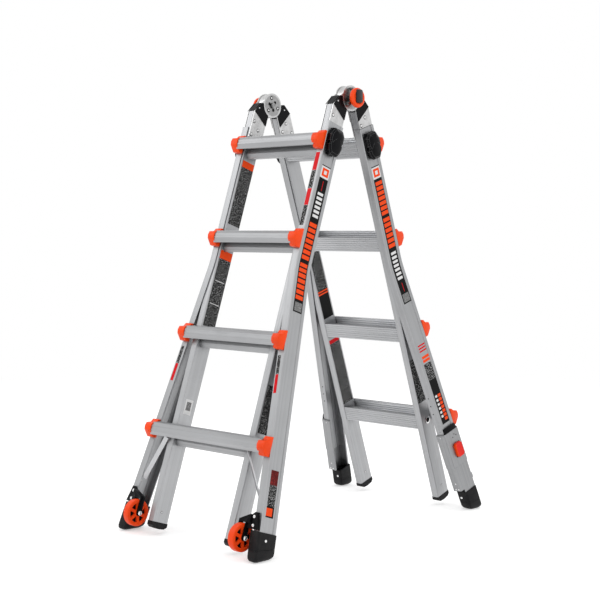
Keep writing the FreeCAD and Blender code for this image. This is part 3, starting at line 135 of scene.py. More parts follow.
def makeCamera():
    data = bpy.data.cameras.new("camera")
    data.sensor_width = view["sensor"]
    data.lens = view["focal"]
    camera = linked("camera", data)
    yaw, pitch, roll = (math.radians(view[key]) for key in ("yaw", "pitch", "roll"))
    stand = Matrix.Translation(Vector(view["at"]) + Vector((0, hingeAt.y, 0)))
    aimed = Matrix.Rotation(yaw, 4, "Z") @ Matrix.Rotation(math.pi / 2 + pitch, 4, "X")
    camera.matrix_world = stand @ aimed @ Matrix.Rotation(roll, 4, "Z")
    scene.camera = camera


makeCamera()
print("camera set")


def addNode(tree, kind, links=None, **settings):
    node = tree.nodes.new(kind)
    for key, value in settings.items():
        setattr(node, key, value)
    for socket, source in (links or {}).items():
        target = node.inputs[socket]
        if isinstance(source, (int, float, tuple, list, str)):
            target.default_value = source
        else:
            tree.links.new(source, target)
    return node


def made(tree, kind, links=None, **settings):
    # a new node's first output
    return addNode(tree, kind, links, **settings).outputs[0]


finishes = {}


def newMaterial(name):
    # a finish known by its name, and the tree that draws it
    material = bpy.data.materials.new(name)
    material.use_nodes = True
    finishes[name] = material
    return material.node_tree


def maths(tree, operation, a, b=0.0):
    return made(tree, "ShaderNodeMath", {0: a, 1: b}, operation=operation)


def combined(tree, x=0.0, y=0.0, z=0.0):
    return made(tree, "ShaderNodeCombineXYZ", {0: x, 1: y, 2: z})


def vectorMaths(tree, operation, links, output=0):
    return addNode(tree, "ShaderNodeVectorMath", links, operation=operation).outputs[output]


def noise(tree, vector, scale, detail=3.0, roughness=0.55):
    links = {"Vector": vector, "Scale": scale, "Detail": detail, "Roughness": roughness}
    return made(tree, "ShaderNodeTexNoise", links)


def ramp(tree, factor, places, colours):
    node = addNode(tree, "ShaderNodeValToRGB", {"Fac": factor})
    for element, at, colour in zip(node.color_ramp.elements, places, colours, strict=True):
        element.position = at
        element.color = (*colour, 1)
    return node.outputs["Color"]


def spread(tree, factor, low, high, fromLow=0.3, fromHigh=0.7):
    links = {"Value": factor, "From Min": fromLow, "From Max": fromHigh, "To Min": low, "To Max": high}
    return made(tree, "ShaderNodeMapRange", links)


def scaled(tree, vector, scale):
    return made(tree, "ShaderNodeMapping", {"Vector": vector, "Scale": scale})


def objectVector(tree):
    return addNode(tree, "ShaderNodeTexCoord").outputs["Object"]


def fromHinge(tree, vector):
    return vectorMaths(tree, "ADD", {0: vector, 1: tuple(-hingeAt)})


def railVector(tree, section, flared):
    # coordinates whose z runs along the rail, also below its bend
    angle = tilt if section == "front" else -tilt
    links = {"Vector": fromHinge(tree, objectVector(tree)), "Angle": angle}
    turned = made(tree, "ShaderNodeVectorRotate", links, rotation_type="X_AXIS")
    if not flared:
        return turned
    parts = addNode(tree, "ShaderNodeSeparateXYZ", {0: turned}).outputs
    down = maths(tree, "MULTIPLY", parts["Z"], -1.0)
    below = maths(tree, "MAXIMUM", maths(tree, "SUBTRACT", down, ladder["bendAt"] * mm), 0.0)
    gone = maths(tree, "MULTIPLY", below, math.tan(flare))
    across = maths(tree, "SUBTRACT", maths(tree, "ABSOLUTE", parts["X"]), gone)
    return combined(tree, across, parts["Y"], parts["Z"])


def finished(tree, colour, roughness, bump, specular=None):
    # joins a finish's parts; it is a metal where no specular is given, and bump is height, strength, distance
    shader = tree.nodes["Principled BSDF"]
    normal = made(tree, "ShaderNodeBump", dict(zip(("Height", "Strength", "Distance"), bump)))
    for source, socket in ((colour, "Base Color"), (roughness, "Roughness"), (normal, "Normal")):
        tree.links.new(source, shader.inputs[socket])
    if specular is None:
        shader.inputs["Metallic"].default_value = 1.0
    else:
        shader.inputs["Specular IOR Level"].default_value = specular


def tinted(colour, factor):
    return tuple(min(1.0, part * factor) for part in colour)


def grey(value):
    return (value,) * 3


# Looks of the finishes: scales of their noises, and the shares at which their ramps start and end.
aluminium = {
    "colour": (0.45, 0.455, 0.465),
    "shade": 0.82,
    "roughness": (0.34, 0.50),
    "scuff": 0.12,
    "dieLines": 900.0,
    "lineLength": 3.0,
    "bands": 0.2,               # share of the die lines' scale
    "clouds": 5.0,
    "bandShare": 0.55,          # of bands against clouds in the tone
    "toneRamp": (0.34, 0.64),
    "scuffScale": (14.0, 60.0),     # along the length and across it
    "scuffRamp": (0.58, 0.72),
    "bump": 0.10,
    # reach and ramp of the painted shade in corners and grooves
    "cornerShadeReach": 0.030,
    "cornerShadeRamp": (0.25, 0.85),
}
zinc = {"spangle": 150.0, "patch": 70.0, "ramp": (0.32, 0.66), "hubEdge": (0.0325, 0.034)}
plastic = {"flow": 22.0, "rub": 120.0, "grain": 1600.0, "ramp": (0.35, 0.65), "rubbed": (-0.06, 0.10)}
rubber = {
    "grain": 700.0,
    "dust": 28.0,
    "colours": ((0.004, 0.004, 0.005), (0.016, 0.015, 0.015)),
    "ramp": (0.40, 0.80),
    "roughness": (0.42, 0.62),
}
laminate = {
    "wave": 45.0,
    "roughness": (0.26, 0.40),
    "speckRamp": (0.55, 0.60),
    "plain": 60.0,
    "plainRamp": (0.30, 0.70),
}


def shaded(tree, colour, depth):
    # painted shade: the colour darkens in the corners and grooves that ambient occlusion finds
    links = {"Color": colour, "Distance": aluminium["cornerShadeReach"]}
    hollow = addNode(tree, "ShaderNodeAmbientOcclusion", links, samples=6).outputs["AO"]
    keep = spread(tree, hollow, 1 - depth, 1.0, *aluminium["cornerShadeRamp"])
    return vectorMaths(tree, "SCALE", {0: colour, "Scale": keep})


def extrudedAluminium(name, tone, rail=None, shine=0.0, cornerShade=0.45):
    # mill finish: die lines along the rail or the rung, cloudy tone and handling scuffs, and painted shade in
    # corners and grooves
    tree = newMaterial(name)
    vector = railVector(tree, *rail) if rail else objectVector(tree)

    def stretched(along, across):
        return scaled(tree, vector, (across, across, along) if rail else (along, across, across))

    along, across = aluminium["lineLength"], aluminium["dieLines"]
    lines = noise(tree, stretched(along, across), 1.0, 4.0, 0.6)
    bands = noise(tree, stretched(along * aluminium["bands"], across * aluminium["bands"]), 1.0)
    clouds = noise(tree, vector, aluminium["clouds"])
    scuffs = noise(tree, stretched(*aluminium["scuffScale"]), 1.0, 6.0, 0.7)
    bands = maths(tree, "MULTIPLY", bands, aluminium["bandShare"])
    clouds = maths(tree, "MULTIPLY", clouds, 1 - aluminium["bandShare"])
    light = tinted(aluminium["colour"], tone)
    dark = tinted(light, aluminium["shade"])
    cloudy = ramp(tree, maths(tree, "ADD", bands, clouds), aluminium["toneRamp"], (dark, light))
    low, high = (value - shine for value in aluminium["roughness"])
    scuffed = spread(tree, scuffs, 0.0, aluminium["scuff"], *aluminium["scuffRamp"])
    rough = maths(tree, "ADD", spread(tree, lines, low, high), scuffed)
    # the colour carries painted shade in corners and grooves
    finished(tree, shaded(tree, cloudy, cornerShade), rough, (lines, aluminium["bump"], 0.0004))


def platedSteel(name, dark, light, low, high, bump=0.2, hubTone=None):
    # zinc plate: bright, mottled and lightly rubbed; hubTone darkens the worn disc around the hinge pin
    tree = newMaterial(name)
    vector = objectVector(tree)
    links = {"Vector": vector, "Scale": zinc["spangle"]}
    spangle = addNode(tree, "ShaderNodeTexVoronoi", links, feature="F1").outputs["Color"]
    facets = made(tree, "ShaderNodeRGBToBW", {0: spangle})
    patch = noise(tree, vector, zinc["patch"], 4.0, 0.6)
    colour = ramp(tree, patch, zinc["ramp"], (grey(dark), grey(light)))
    if hubTone:
        flat = scaled(tree, fromHinge(tree, vector), (0, 1, 1))
        away = vectorMaths(tree, "LENGTH", {0: flat}, "Value")
        tone = spread(tree, away, hubTone, 1.0, *zinc["hubEdge"])
        colour = vectorMaths(tree, "SCALE", {0: colour, "Scale": tone})
    finished(tree, colour, spread(tree, facets, low, high, 0.0, 1.0), (patch, bump, 0.0006))


def mouldedPlastic(name, colour, roughness, gloss=0.5, bump=0.08, shift=0.10):
    # moulded plastic: fine grain, slight flow marks and rubbed patches
    tree = newMaterial(name)
    vector = objectVector(tree)
    flow = noise(tree, vector, plastic["flow"])
    fine = noise(tree, vector, plastic["grain"], 2.0, 0.6)
    rub = noise(tree, vector, plastic["rub"], 5.0, 0.7)
    tones = ramp(tree, flow, plastic["ramp"], (tinted(colour, 1 - shift), tinted(colour, 1 + shift)))
    low, high = (roughness + change for change in plastic["rubbed"])
    finished(tree, tones, spread(tree, rub, low, high), (fine, bump, 0.0003), gloss)


def footRubber(name):
    # black rubber with mould grain and a little dust
    tree = newMaterial(name)
    vector = objectVector(tree)
    grain = noise(tree, vector, rubber["grain"], 4.0, 0.65)
    dust = noise(tree, vector, rubber["dust"], 5.0, 0.65)
    colour = ramp(tree, dust, rubber["ramp"], rubber["colours"])
    finished(tree, colour, spread(tree, grain, *rubber["roughness"]), (grain, 0.25, 0.0004), 0.18)


def printedFilm(name, colour, speck=None, fleck=520.0):
    # laminated label film; speck gives its plain print a fine grey texture
    tree = newMaterial(name)
    vector = objectVector(tree)
    if speck:
        tones = ramp(tree, noise(tree, vector, fleck, 2.0, 0.7), laminate["speckRamp"], (colour, speck))
    else:
        grit = noise(tree, vector, laminate["plain"], 5.0, 0.6)
        tones = ramp(tree, grit, laminate["plainRamp"], (tinted(colour, 0.92), colour))
    wave = noise(tree, vector, laminate["wave"], 2.0)
    finished(tree, tones, spread(tree, wave, *laminate["roughness"]), (wave, 0.05, 0.001), 0.10)


# place, width and strength of the painted light on the backs of the rear outer rungs
rungBackLight = {"face": 69.8, "band": 1.8, "gain": 0.9, "brightest": 0.92}


def paintedLightOnRungBacks(material):
    # painted light: a band on the backs of the rear outer rungs is made brighter, as if lit, where those backs lie
    # in shade
    tree = material.node_tree
    target = tree.nodes["Principled BSDF"].inputs["Base Color"]
    source = target.links[0].from_socket
    depth = addNode(tree, "ShaderNodeSeparateXYZ", {0: railVector(tree, "rear", False)}).outputs["Y"]
    off = maths(tree, "SUBTRACT", maths(tree, "ABSOLUTE", depth), rungBackLight["face"] * mm)
    back = maths(tree, "LESS_THAN", maths(tree, "ABSOLUTE", off), rungBackLight["band"] * mm)
    amount = maths(tree, "ADD", maths(tree, "MULTIPLY", back, rungBackLight["gain"]), 1.0)
    lifted = vectorMaths(tree, "SCALE", {0: source, "Scale": amount})
    capped = vectorMaths(tree, "MINIMUM", {0: lifted, 1: grey(rungBackLight["brightest"])})
    tree.links.new(capped, target)


signalOrange = (0.96, 0.066, 0.005)
deepBlack = (0.003, 0.003, 0.004)
# These copies of one aluminium differ in tone part by part: partly the parts' own finish, partly painted light and
# shade set to how bright each part looks
extrudedAluminium("frontRail", 1.0, ("front", True))
extrudedAluminium("rearRail", 0.92, ("rear", True))
extrudedAluminium("frontTube", 1.08, ("front", False))
extrudedAluminium("rearTube", 1.0, ("rear", False))
extrudedAluminium("frontRung", 1.0, shine=-0.10, cornerShade=0.55)
extrudedAluminium("rearRung", 1.14, shine=-0.05, cornerShade=0.2)
paintedLightOnRungBacks(finishes["rearRung"])
extrudedAluminium("sleeveAluminium", 0.80, ("rear", True))
extrudedAluminium("polishedStrap", 1.25, ("front", True), shine=0.06, cornerShade=0.3)
platedSteel("hubSteel", 0.09, 0.46, 0.28, 0.44, bump=0.5)
platedSteel("leafSteel", 0.50, 0.64, 0.28, 0.42, bump=0.1, hubTone=0.62)
platedSteel("rivetSteel", 0.60, 0.85, 0.16, 0.28)
mouldedPlastic("glossBlack", deepBlack, 0.20, gloss=0.10, shift=0.3)
# lighter grey for the rockers' bevelled edges: painted glints
mouldedPlastic("edgeGlintBlack", (0.075, 0.075, 0.078), 0.24, gloss=0.4)
mouldedPlastic("bracketBlack", deepBlack, 0.36, gloss=0.10, shift=0.3)
mouldedPlastic("capOrange", signalOrange, 0.34, gloss=0.2, bump=0.05)
mouldedPlastic("wheelOrange", signalOrange, 0.36, gloss=0.2)
mouldedPlastic("knobOrange", signalOrange, 0.28, gloss=0.22)
mouldedPlastic("knobGrey", (0.018, 0.019, 0.021), 0.24, gloss=0.35, shift=0.2)
mouldedPlastic("buttonRed", (0.80, 0.016, 0.008), 0.30, gloss=0.2)
# near-black for thin discs that stand for holes, bores and recesses: painted shade
mouldedPlastic("shadeDisc", grey(0.010), 0.6, gloss=0.1)
footRubber("rubber")
printedFilm("filmBlack", grey(0.003))
printedFilm("filmDark", grey(0.005), grey(0.42), 330.0)
printedFilm("filmOrange", (0.96, 0.075, 0.008))
printedFilm("filmRed", (0.70, 0.004, 0.010))
printedFilm("filmMaroon", (0.10, 0.006, 0.006), (0.30, 0.02, 0.018), 260.0)
printedFilm("filmWhite", grey(0.80))
printedFilm("filmGrey", grey(0.16), grey(0.42))
print("finishes made:", len(finishes))


# a node that stays or is copied takes the finish of the first of these words that its name holds
nodeFinishes = {
    "outer_rail": "{section}Rail",
    "inner_rail": "{section}Tube",
    "end_caps": "capOrange",
    "inner_feet": "rubber",
    "rung": "{section}Rung",
    "leveler_leg": "sleeveAluminium",
    "pin_plate": "hubSteel",
    "lock_pin": "rivetSteel",
    "bracket": "bracketBlack",
    "knob": "knobOrange",
    "button": "buttonRed",
    "leaf": "leafSteel",
    "barrel": "hubSteel",
    "": "glossBlack",           # the rest: covers, lock housings and rack fixings
}


def finishFor(name):
    section = "rear" if name.startswith("rear") else "front"
    return next(finish for word, finish in nodeFinishes.items() if word in name).format(section=section)


for name, node in nodes.items():
    node.data.materials.clear()
    node.data.materials.append(finishes[finishFor(name)])
print("nodes finished")


def newPiece(name, mesh, body, replaced=()):
    piece = linked(name, mesh)
    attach(piece, body)
    for node in replaced:
        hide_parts(node)
    return piece


@contextmanager
def edited(mesh):
    # the mesh opened for editing, and written back at the end
    work = bmesh.new()
    work.from_mesh(mesh)
    yield work
    work.to_mesh(mesh)
    work.free()


def closedMesh(name, verts, faces, materials, indices=None):
    mesh = bpy.data.meshes.new(name)
    mesh.from_pydata([tuple(vert) for vert in verts], [], faces)
    for material in materials:
        mesh.materials.append(finishes[material])
    if indices:
        mesh.polygons.foreach_set("material_index", indices)
    with edited(mesh) as work:
        bmesh.ops.recalc_face_normals(work, faces=work.faces)
    return mesh


def loft(name, rings, material, ring=False, extra=()):
    # closed shell through outlines of equal count; a ring joins its last outline to its first
    count, levels = len(rings[0]), len(rings)
    verts = [point for outline in rings for point in outline]
    faces = [] if ring else [tuple(range(count)), tuple(range(len(verts) - count, len(verts)))]
    for level in range(levels if ring else levels - 1):
        after = (level + 1) % levels
        for i in range(count):
            j = (i + 1) % count
            faces.append((level * count + i, level * count + j, after * count + j, after * count + i))
    return closedMesh(name, verts, faces, [material, *extra])


def roundedRectangle(width, height, radius, steps=5):
    points = []
    for turn, (cu, cv) in enumerate(((1, 1), (-1, 1), (-1, -1), (1, -1))):
        for i in range(steps + 1):
            angle = math.pi / 2 * (turn + i / steps)
            points.append((cu * (width / 2 - radius) + radius * math.cos(angle),
                           cv * (height / 2 - radius) + radius * math.sin(angle)))
    return points


def smoothed(mesh, angle=32):
    for polygon in mesh.polygons:
        polygon.use_smooth = True
    mesh.set_sharp_from_angle(angle=math.radians(angle))
    return mesh


def takenFrom(helper):
    # what a helper's modifier makes of it, as a plain mesh
    depsgraph = bpy.context.evaluated_depsgraph_get()
    mesh = bpy.data.meshes.new_from_object(helper.evaluated_get(depsgraph))
    bpy.data.objects.remove(helper)
    return mesh


def bevelled(mesh, width, angle, segments, material=-1):
    helper = linked("helper", mesh)
    bevel = helper.modifiers.new("edges", "BEVEL")
    bevel.width = width * mm
    bevel.segments = segments
    bevel.material = material
    bevel.limit_method = "ANGLE"
    bevel.angle_limit = math.radians(angle)
    return takenFrom(helper)


# Moulded and pressed parts whose edges are rounded over; width is the radius in millimetres.
softParts = {
    "rungCaps": (1.1, "orange_plastic", ["front_rung_end_caps", "rear_rung_end_caps"]),
    "bracket": (0.7, "black_plastic", ["wheel_bracket_left", "wheel_bracket_right"]),
    "knob": (0.9, "orange_knob", ["hinge_knob_left", "hinge_knob_right"]),
    "fixings": (1.2, "black_plastic", ["rear_leveler_fixings"]),
}
softening = {"weld": 2e-6, "flat": 1.5, "angle": 28, "segments": 2}


def softened(part, node, width):
    mesh = nodes[node].data.copy()
    with edited(mesh) as work:
        bmesh.ops.remove_doubles(work, verts=work.verts, dist=softening["weld"])
        flat = math.radians(softening["flat"])
        bmesh.ops.dissolve_limit(work, angle_limit=flat, verts=work.verts, edges=work.edges)
    rounded = smoothed(bevelled(mesh, width, softening["angle"], softening["segments"]))
    newPiece(f"{part}_{node}", rounded, bodyOf[node], [node])


for part, (width, slot, members) in softParts.items():
    for node in members:
        softened(part, node, width)
print("edges rounded on", ", ".join(softParts))


def groupTree(name, lengths, counts=()):
    # a tree that takes lengths, counts and the finish that it paints with
    tree = bpy.data.node_groups.new(name, "GeometryNodeTree")
    kinds = [(label, "NodeSocketFloat") for label in lengths] + [(label, "NodeSocketInt") for label in counts]
    for label, kind in [("Geometry", "NodeSocketGeometry"), *kinds, ("Finish", "NodeSocketMaterial")]:
        tree.interface.new_socket(label, in_out="INPUT", socket_type=kind)
    tree.interface.new_socket("Geometry", in_out="OUTPUT", socket_type="NodeSocketGeometry")
    return tree, tree.nodes.new("NodeGroupInput").outputs


def onPoints(tree, points, instance, rotation, **links):
    links = {"Points": points, "Instance": instance, "Rotation": rotation, **links}
    return made(tree, "GeometryNodeInstanceOnPoints", links)


def attribute(tree, name, kind):
    return made(tree, "GeometryNodeInputNamedAttribute", {"Name": name}, data_type=kind)


def closeTree(tree, geometry, finish):
    # every tree ends the same way: realized and painted
    realized = made(tree, "GeometryNodeRealizeInstances", {"Geometry": geometry})
    painted = made(tree, "GeometryNodeSetMaterial", {"Geometry": realized, "Material": finish})
    addNode(tree, "NodeGroupOutput", {0: painted})


def grown(base, tree, values):
    # run a tree on a base mesh and keep the result as a plain mesh
    helper = linked("helper", base)
    modifier = helper.modifiers.new("grow", "NODES")
    modifier.node_group = tree
    for item in tree.interface.items_tree:
        if item.in_out == "INPUT" and item.name in values:
            modifier[item.identifier] = values[item.name]
    return smoothed(takenFrom(helper))


def headTree():
    # low domed heads, one at each point, standing up along the point's own direction
    tree, given = groupTree("domedHeads", ("Head radius", "Head height"))
    dome = made(tree, "GeometryNodeMeshUVSphere", {"Segments": 20, "Rings": 8, "Radius": 1.0})
    radius = given["Head radius"]
    size = combined(tree, radius, radius, given["Head height"])
    sized = made(tree, "GeometryNodeTransform", {"Geometry": dome, "Scale": size})
    aim = attribute(tree, "aim", "FLOAT_VECTOR")
    turn = made(tree, "FunctionNodeAlignRotationToVector", {"Vector": aim}, axis="Z")
    closeTree(tree, onPoints(tree, given["Geometry"], sized, turn), given["Finish"])
    return tree


domedHeads = headTree()


def headsAt(name, spots, sizes, body, replaced=()):
    # spots are (section, side, x, n, s, words), x measured outwards on that side
    base = bpy.data.meshes.new("points")
    points = [tuple(place(section, side * x, n, s)) for section, side, x, n, s, words in spots]
    base.from_pydata(points, [], [])
    aim = base.attributes.new("aim", "FLOAT_VECTOR", "POINT")
    for i, (section, side, x, n, s, words) in enumerate(spots):
        aim.data[i].vector = facing(section, words, side)
    values = {"Head radius": sizes["radius"] * mm, "Head height": sizes["height"] * mm,
              "Finish": finishes[sizes["finish"]]}
    newPiece(name, grown(base, domedHeads, values), body, replaced)


def mirrored(section, x, spots, words):
    # the same spots (n, s) on both sides of a section
    return [(section, side, x, n, s, words) for side in sides.values() for n, s in spots]


def throughTube(section, faces, spot, grow=0.0):
    # one spot on both faces of each tube, or of what covers it
    inner = mirrored(section, faces[0] - grow, [spot], "inboard")
    return inner + mirrored(section, faces[1] + grow, [spot], "outboard")


def onRail(section, side, offset, s, n, words):
    # a spot on the outer rail, offset outwards from its inboard edge
    x, at = railLine(s, offset)
    return section, side, x, n, at, words


def onCircle(radius, turns):
    return [(radius * math.cos(math.radians(turn)), radius * math.sin(math.radians(turn))) for turn in turns]


def head(radius, height, finish="rivetSteel", slot="fastener_steel"):
    return {"radius": radius, "height": height, "finish": finish, "slot": slot}


tubeFaces = (ladder["tubeIn"], ladder["tubeOut"])
leafFaces = (ladder["tubeIn"] - ladder["plateThick"], ladder["tubeOut"] + ladder["plateThick"])
leafHeads = {
    "heads": head(4.6, 2.6),
    # near-black rings round the rivet heads: painted shade
    "shadeRings": head(6.0, 0.5, "shadeDisc", "hinge_steel"),
    "inboard": {"front": [(59, 77), (35, 99), (59, 121)], "rear": [(40, 70), (17, 91), (56, 105)]},
    "outboard": {"front": [(58, 77)], "rear": [(42, 70), (18, 90)]},
    "coverBolts": head(2.6, 1.6),
    "coverAt": {"front": (53, 30), "rear": (45, 27)},
    "coverThick": 2.0,
}
hubHeads = {
    # near-black discs for the recesses and for the wells round the pins: painted shade
    "hubRecesses": (head(5.4, 0.6, "shadeDisc", "hinge_steel"), onCircle(14.5, (0, 120, 240))),
    "hubPins": (head(3.6, 2.4), onCircle(24.0, (60, 180, 300))),
    "hubWells": (head(6.2, 0.5, "shadeDisc", "hinge_steel"), onCircle(24.0, (60, 180, 300))),
}


def hingeHeads():
    for section in sections:
        body = f"{section}_inner"
        leaf = mirrored(section, leafFaces[0], leafHeads["inboard"][section], "inboard")
        leaf += mirrored(section, leafFaces[1], leafHeads["outboard"][section], "outboard")
        headsAt(f"{section}LeafRivets", leaf, leafHeads["heads"], body, [f"{section}_inner_rivets"])
        headsAt(f"{section}LeafShadeRings", leaf, leafHeads["shadeRings"], body)
        bolts = throughTube(section, leafFaces, leafHeads["coverAt"][section], leafHeads["coverThick"])
        headsAt(f"{section}CoverBolts", bolts, leafHeads["coverBolts"], body)
    for name, (sizes, spots) in hubHeads.items():
        headsAt(name, mirrored("front", leafFaces[0], spots, "inboard"), sizes, "front_inner")


hingeHeads()

# spots on rails and boots are (offset, s), or (offset, s, n) with the n of their face
footSpots = {
    "bracket": {"head": head(5.0, 2.6), "face": 80.0, "at": [(4.0, 1270.0), (3.0, 1294.0)]},
    "brace": {"face": 65.1, "at": (4.0, 1235.2)},
    "axle": {"head": head(6.8, 3.2), "arms": (208.5, 246.5)},
    "boot": {"head": head(4.2, 2.0), "front": (28.0, 1331, 46), "rear": (5, 1337, 18.0)},
    "sleeve": {"head": head(2.6, 1.5), "face": 3.1, "at": [(8, 1300), (19, 1301), (12, 1121), (13, 1281)]},
}


def footHeads():
    bracket, brace, axle, boot, sleeve = footSpots.values()
    rivets, bootRivets = [], []
    for side in sides.values():
        rivets += [onRail("front", side, *at, bracket["face"], "climb") for at in bracket["at"]]
        rivets.append(onRail("front", side, *brace["at"], brace["face"], "under"))
        bootRivets.append(onRail("front", side, *boot["front"], "outboard"))
    bolts = throughTube("front", axle["arms"], ladder["axle"])
    headsAt("bracketRivets", rivets, bracket["head"], "front_outer", ["front_outer_rivets"])
    headsAt("axleBolts", bolts, axle["head"], "front_outer")
    headsAt("frontBootRivets", bootRivets, boot["head"], "front_outer")
    for sideName, side in sides.items():
        body = f"leveler_{sideName}"
        near = [onRail("rear", side, *boot["rear"], "under")]
        headsAt(f"rearBootRivet_{sideName}", near, boot["head"], body)
        small = [onRail("rear", side, *at, sleeve["face"], "under") for at in sleeve["at"]]
        headsAt(f"sleeveBolts_{sideName}", small, sleeve["head"], body)


footHeads()

boreSpots = {
    "rungEnds": {
        "x": 180.7,
        "ring": head(12.0, 0.5, slot="aluminium_rung"),
        "bore": head(8.8, 0.9, "shadeDisc", "aluminium_rung"),
    },
    "tubeScrews": {
        "at": {"front": (43, 1314), "rear": (40, 1314)},
        "head": head(2.6, 1.5),
        "bore": head(3.6, 0.3, "shadeDisc"),
    },
    "flangeHoles": {
        "offset": 10.5,
        "lines": (985, 1012, 1039),
        "bore": head(2.2, 0.25, "shadeDisc", "aluminium_rail"),
    },
}


def boreMarks():
    # the rungs' bright ends in the tubes, the screws near the tube ends and small drilled holes; the bores, the
    # rings round the screws and the holes are near-black discs of painted shade
    ends, screws, holes = boreSpots.values()
    for section in sections:
        spots = mirrored(section, ends["x"], [(ladder["middle"], s) for s in rungLines], "outboard")
        headsAt(f"{section}RungEnds", spots, ends["ring"], f"{section}_inner")
        headsAt(f"{section}RungBores", spots, ends["bore"], f"{section}_inner")
    for section in sections:
        spots = throughTube(section, tubeFaces, screws["at"][section])
        headsAt(f"{section}TubeScrews", spots, screws["head"], f"{section}_inner")
        headsAt(f"{section}TubeBores", spots, screws["bore"], f"{section}_inner")
    spots = [onRail("rear", side, holes["offset"], s, ladder["channelNear"], "under")
             for side in sides.values() for s in holes["lines"]]
    headsAt("flangeHoles", spots, holes["bore"], "rear_outer")


boreMarks()
print("rivets and bolts set")

wheelSizes = {
    "lengths": {
        "Wheel radius": 40.0, "Rim inside": 28.5, "Width": 22.0, "Hub radius": 12.0, "Spoke width": 9.0,
        "Spoke thickness": 18.0,
    },
    "spokes": 6,
    "spokeBite": 2.0,       # how far a spoke runs into the rim
    "rimCorner": 2.8,
    "across": 227.5,
    "core": {"thick": 8.0, "bite": 1.0, "corners": 48},
}


def wheelTree():
    tree, given = groupTree("spokedWheel", wheelSizes["lengths"], ["Spokes"])
    radius, inside, width = given["Wheel radius"], given["Rim inside"], given["Width"]
    middle = maths(tree, "MULTIPLY", maths(tree, "ADD", radius, inside), 0.5)
    deep = maths(tree, "SUBTRACT", radius, inside)
    circle = made(tree, "GeometryNodeCurvePrimitiveCircle", {"Resolution": 72, "Radius": middle})
    square = made(tree, "GeometryNodeCurvePrimitiveQuadrilateral", {"Width": deep, "Height": width})
    links = {"Curve": square, "Radius": wheelSizes["rimCorner"] * mm, "Count": 4}
    profile = made(tree, "GeometryNodeFilletCurve", links, mode="POLY")
    rim = made(tree, "GeometryNodeCurveToMesh", {"Curve": circle, "Profile Curve": profile})
    start = maths(tree, "MULTIPLY", given["Hub radius"], 0.5)
    reach = maths(tree, "SUBTRACT", maths(tree, "ADD", inside, wheelSizes["spokeBite"] * mm), start)
    centre = maths(tree, "ADD", start, maths(tree, "MULTIPLY", reach, 0.5))
    size = combined(tree, reach, given["Spoke width"], given["Spoke thickness"])
    box = made(tree, "GeometryNodeMeshCube", {"Size": size})
    spoke = made(tree, "GeometryNodeTransform", {"Geometry": box, "Translation": combined(tree, centre)})
    points = made(tree, "GeometryNodePoints", {"Count": given["Spokes"]})
    step = maths(tree, "DIVIDE", math.tau, given["Spokes"])
    angle = maths(tree, "MULTIPLY", made(tree, "GeometryNodeInputIndex"), step)
    spokes = onPoints(tree, points, spoke, combined(tree, z=angle))
    links = {"Vertices": 40, "Radius": given["Hub radius"], "Depth": width}
    hub = made(tree, "GeometryNodeMeshCylinder", links)
    joined = addNode(tree, "GeometryNodeJoinGeometry")
    for part in (rim, spokes, hub):
        tree.links.new(part, joined.inputs[0])
    closeTree(tree, joined.outputs[0], given["Finish"])
    return tree


def wheelCore(side):
    # dark ring that the spokes run over
    core, lengths = wheelSizes["core"], wheelSizes["lengths"]
    half = core["thick"] / 2
    bore, rim = lengths["Hub radius"] - core["bite"], lengths["Rim inside"] + core["bite"]
    turns = [360 * i / core["corners"] for i in range(core["corners"])]
    rings = []
    for x, radius in ((-half, bore), (-half, rim), (half, rim), (half, bore)):
        middle = place("front", side * (wheelSizes["across"] + x), *ladder["axle"])
        rings.append([middle + Vector((0, u, v)) * mm for u, v in onCircle(radius, turns)])
    return smoothed(loft("core", rings, "bracketBlack", ring=True))


def makeWheels():
    tree = wheelTree()
    values = {label: length * mm for label, length in wheelSizes["lengths"].items()}
    values |= {"Spokes": wheelSizes["spokes"], "Finish": finishes["wheelOrange"]}
    for sideName, side in sides.items():
        body = f"wheel_{sideName}"
        mesh = grown(bpy.data.meshes.new("empty"), tree, values)
        spot = Matrix.Translation(place("front", side * wheelSizes["across"], *ladder["axle"]))
        mesh.transform(spot @ Matrix.Rotation(math.pi / 2, 4, "Y"))
        newPiece(f"spokedWheel_{sideName}", mesh, body, [body])
        newPiece(f"wheelCore_{sideName}", wheelCore(side), body)


makeWheels()
print("wheels made")

boots = {
    "corner": 6.0,
    "profile": ((0.99, 4.0), (0.96, 1.4), (0.90, 0.2), (0.67, 0.0), (0.665, 0.9), (0.645, 0.9), (0.64, 0.0),
                (0.015, 0.0), (0.0, 0.8)),     # share of the height, inset
    "sole": ((18.0, 33.0, 0.6), (14.0, 20.0, 3.0), (9.0, 9.0, 6.0)),     # insets across and along, corner
    "pocketDeep": 0.66,
    "soleFlat": 6.0,        # half width of the sole's flat middle
    "curl": {"side": 6.0, "far": 6.0, "near": 3.0},
    "pocketCorner": 0.8,
    # inboard and outboard offsets, near and far depths
    "front": {"top": 1306.0, "outside": (-9.5, 28.0, 3.0, 76.0), "pocket": (-0.3, 25.8, 5.7, 70.3)},
    "rear": {"top": 1314.0, "outside": (-9.5, 31.4, 18.0, 76.0), "pocket": (-4.0, 28.9, 20.7, 73.4)},
}


def soleLift(section, offset, n):
    # how far the rocker sole rises off the floor towards its edges
    low, high, near, far = boots[section]["outside"]
    half, flat = (high - low) / 2, boots["soleFlat"]
    across = max(0.0, abs(offset - (low + high) / 2) - flat) / (half - flat)
    along = (n - (near + far) / 2) / ((far - near) / 2)
    end = boots["curl"]["far" if along > 0 else "near"] * along ** 2
    return boots["curl"]["side"] * across ** 2 + end


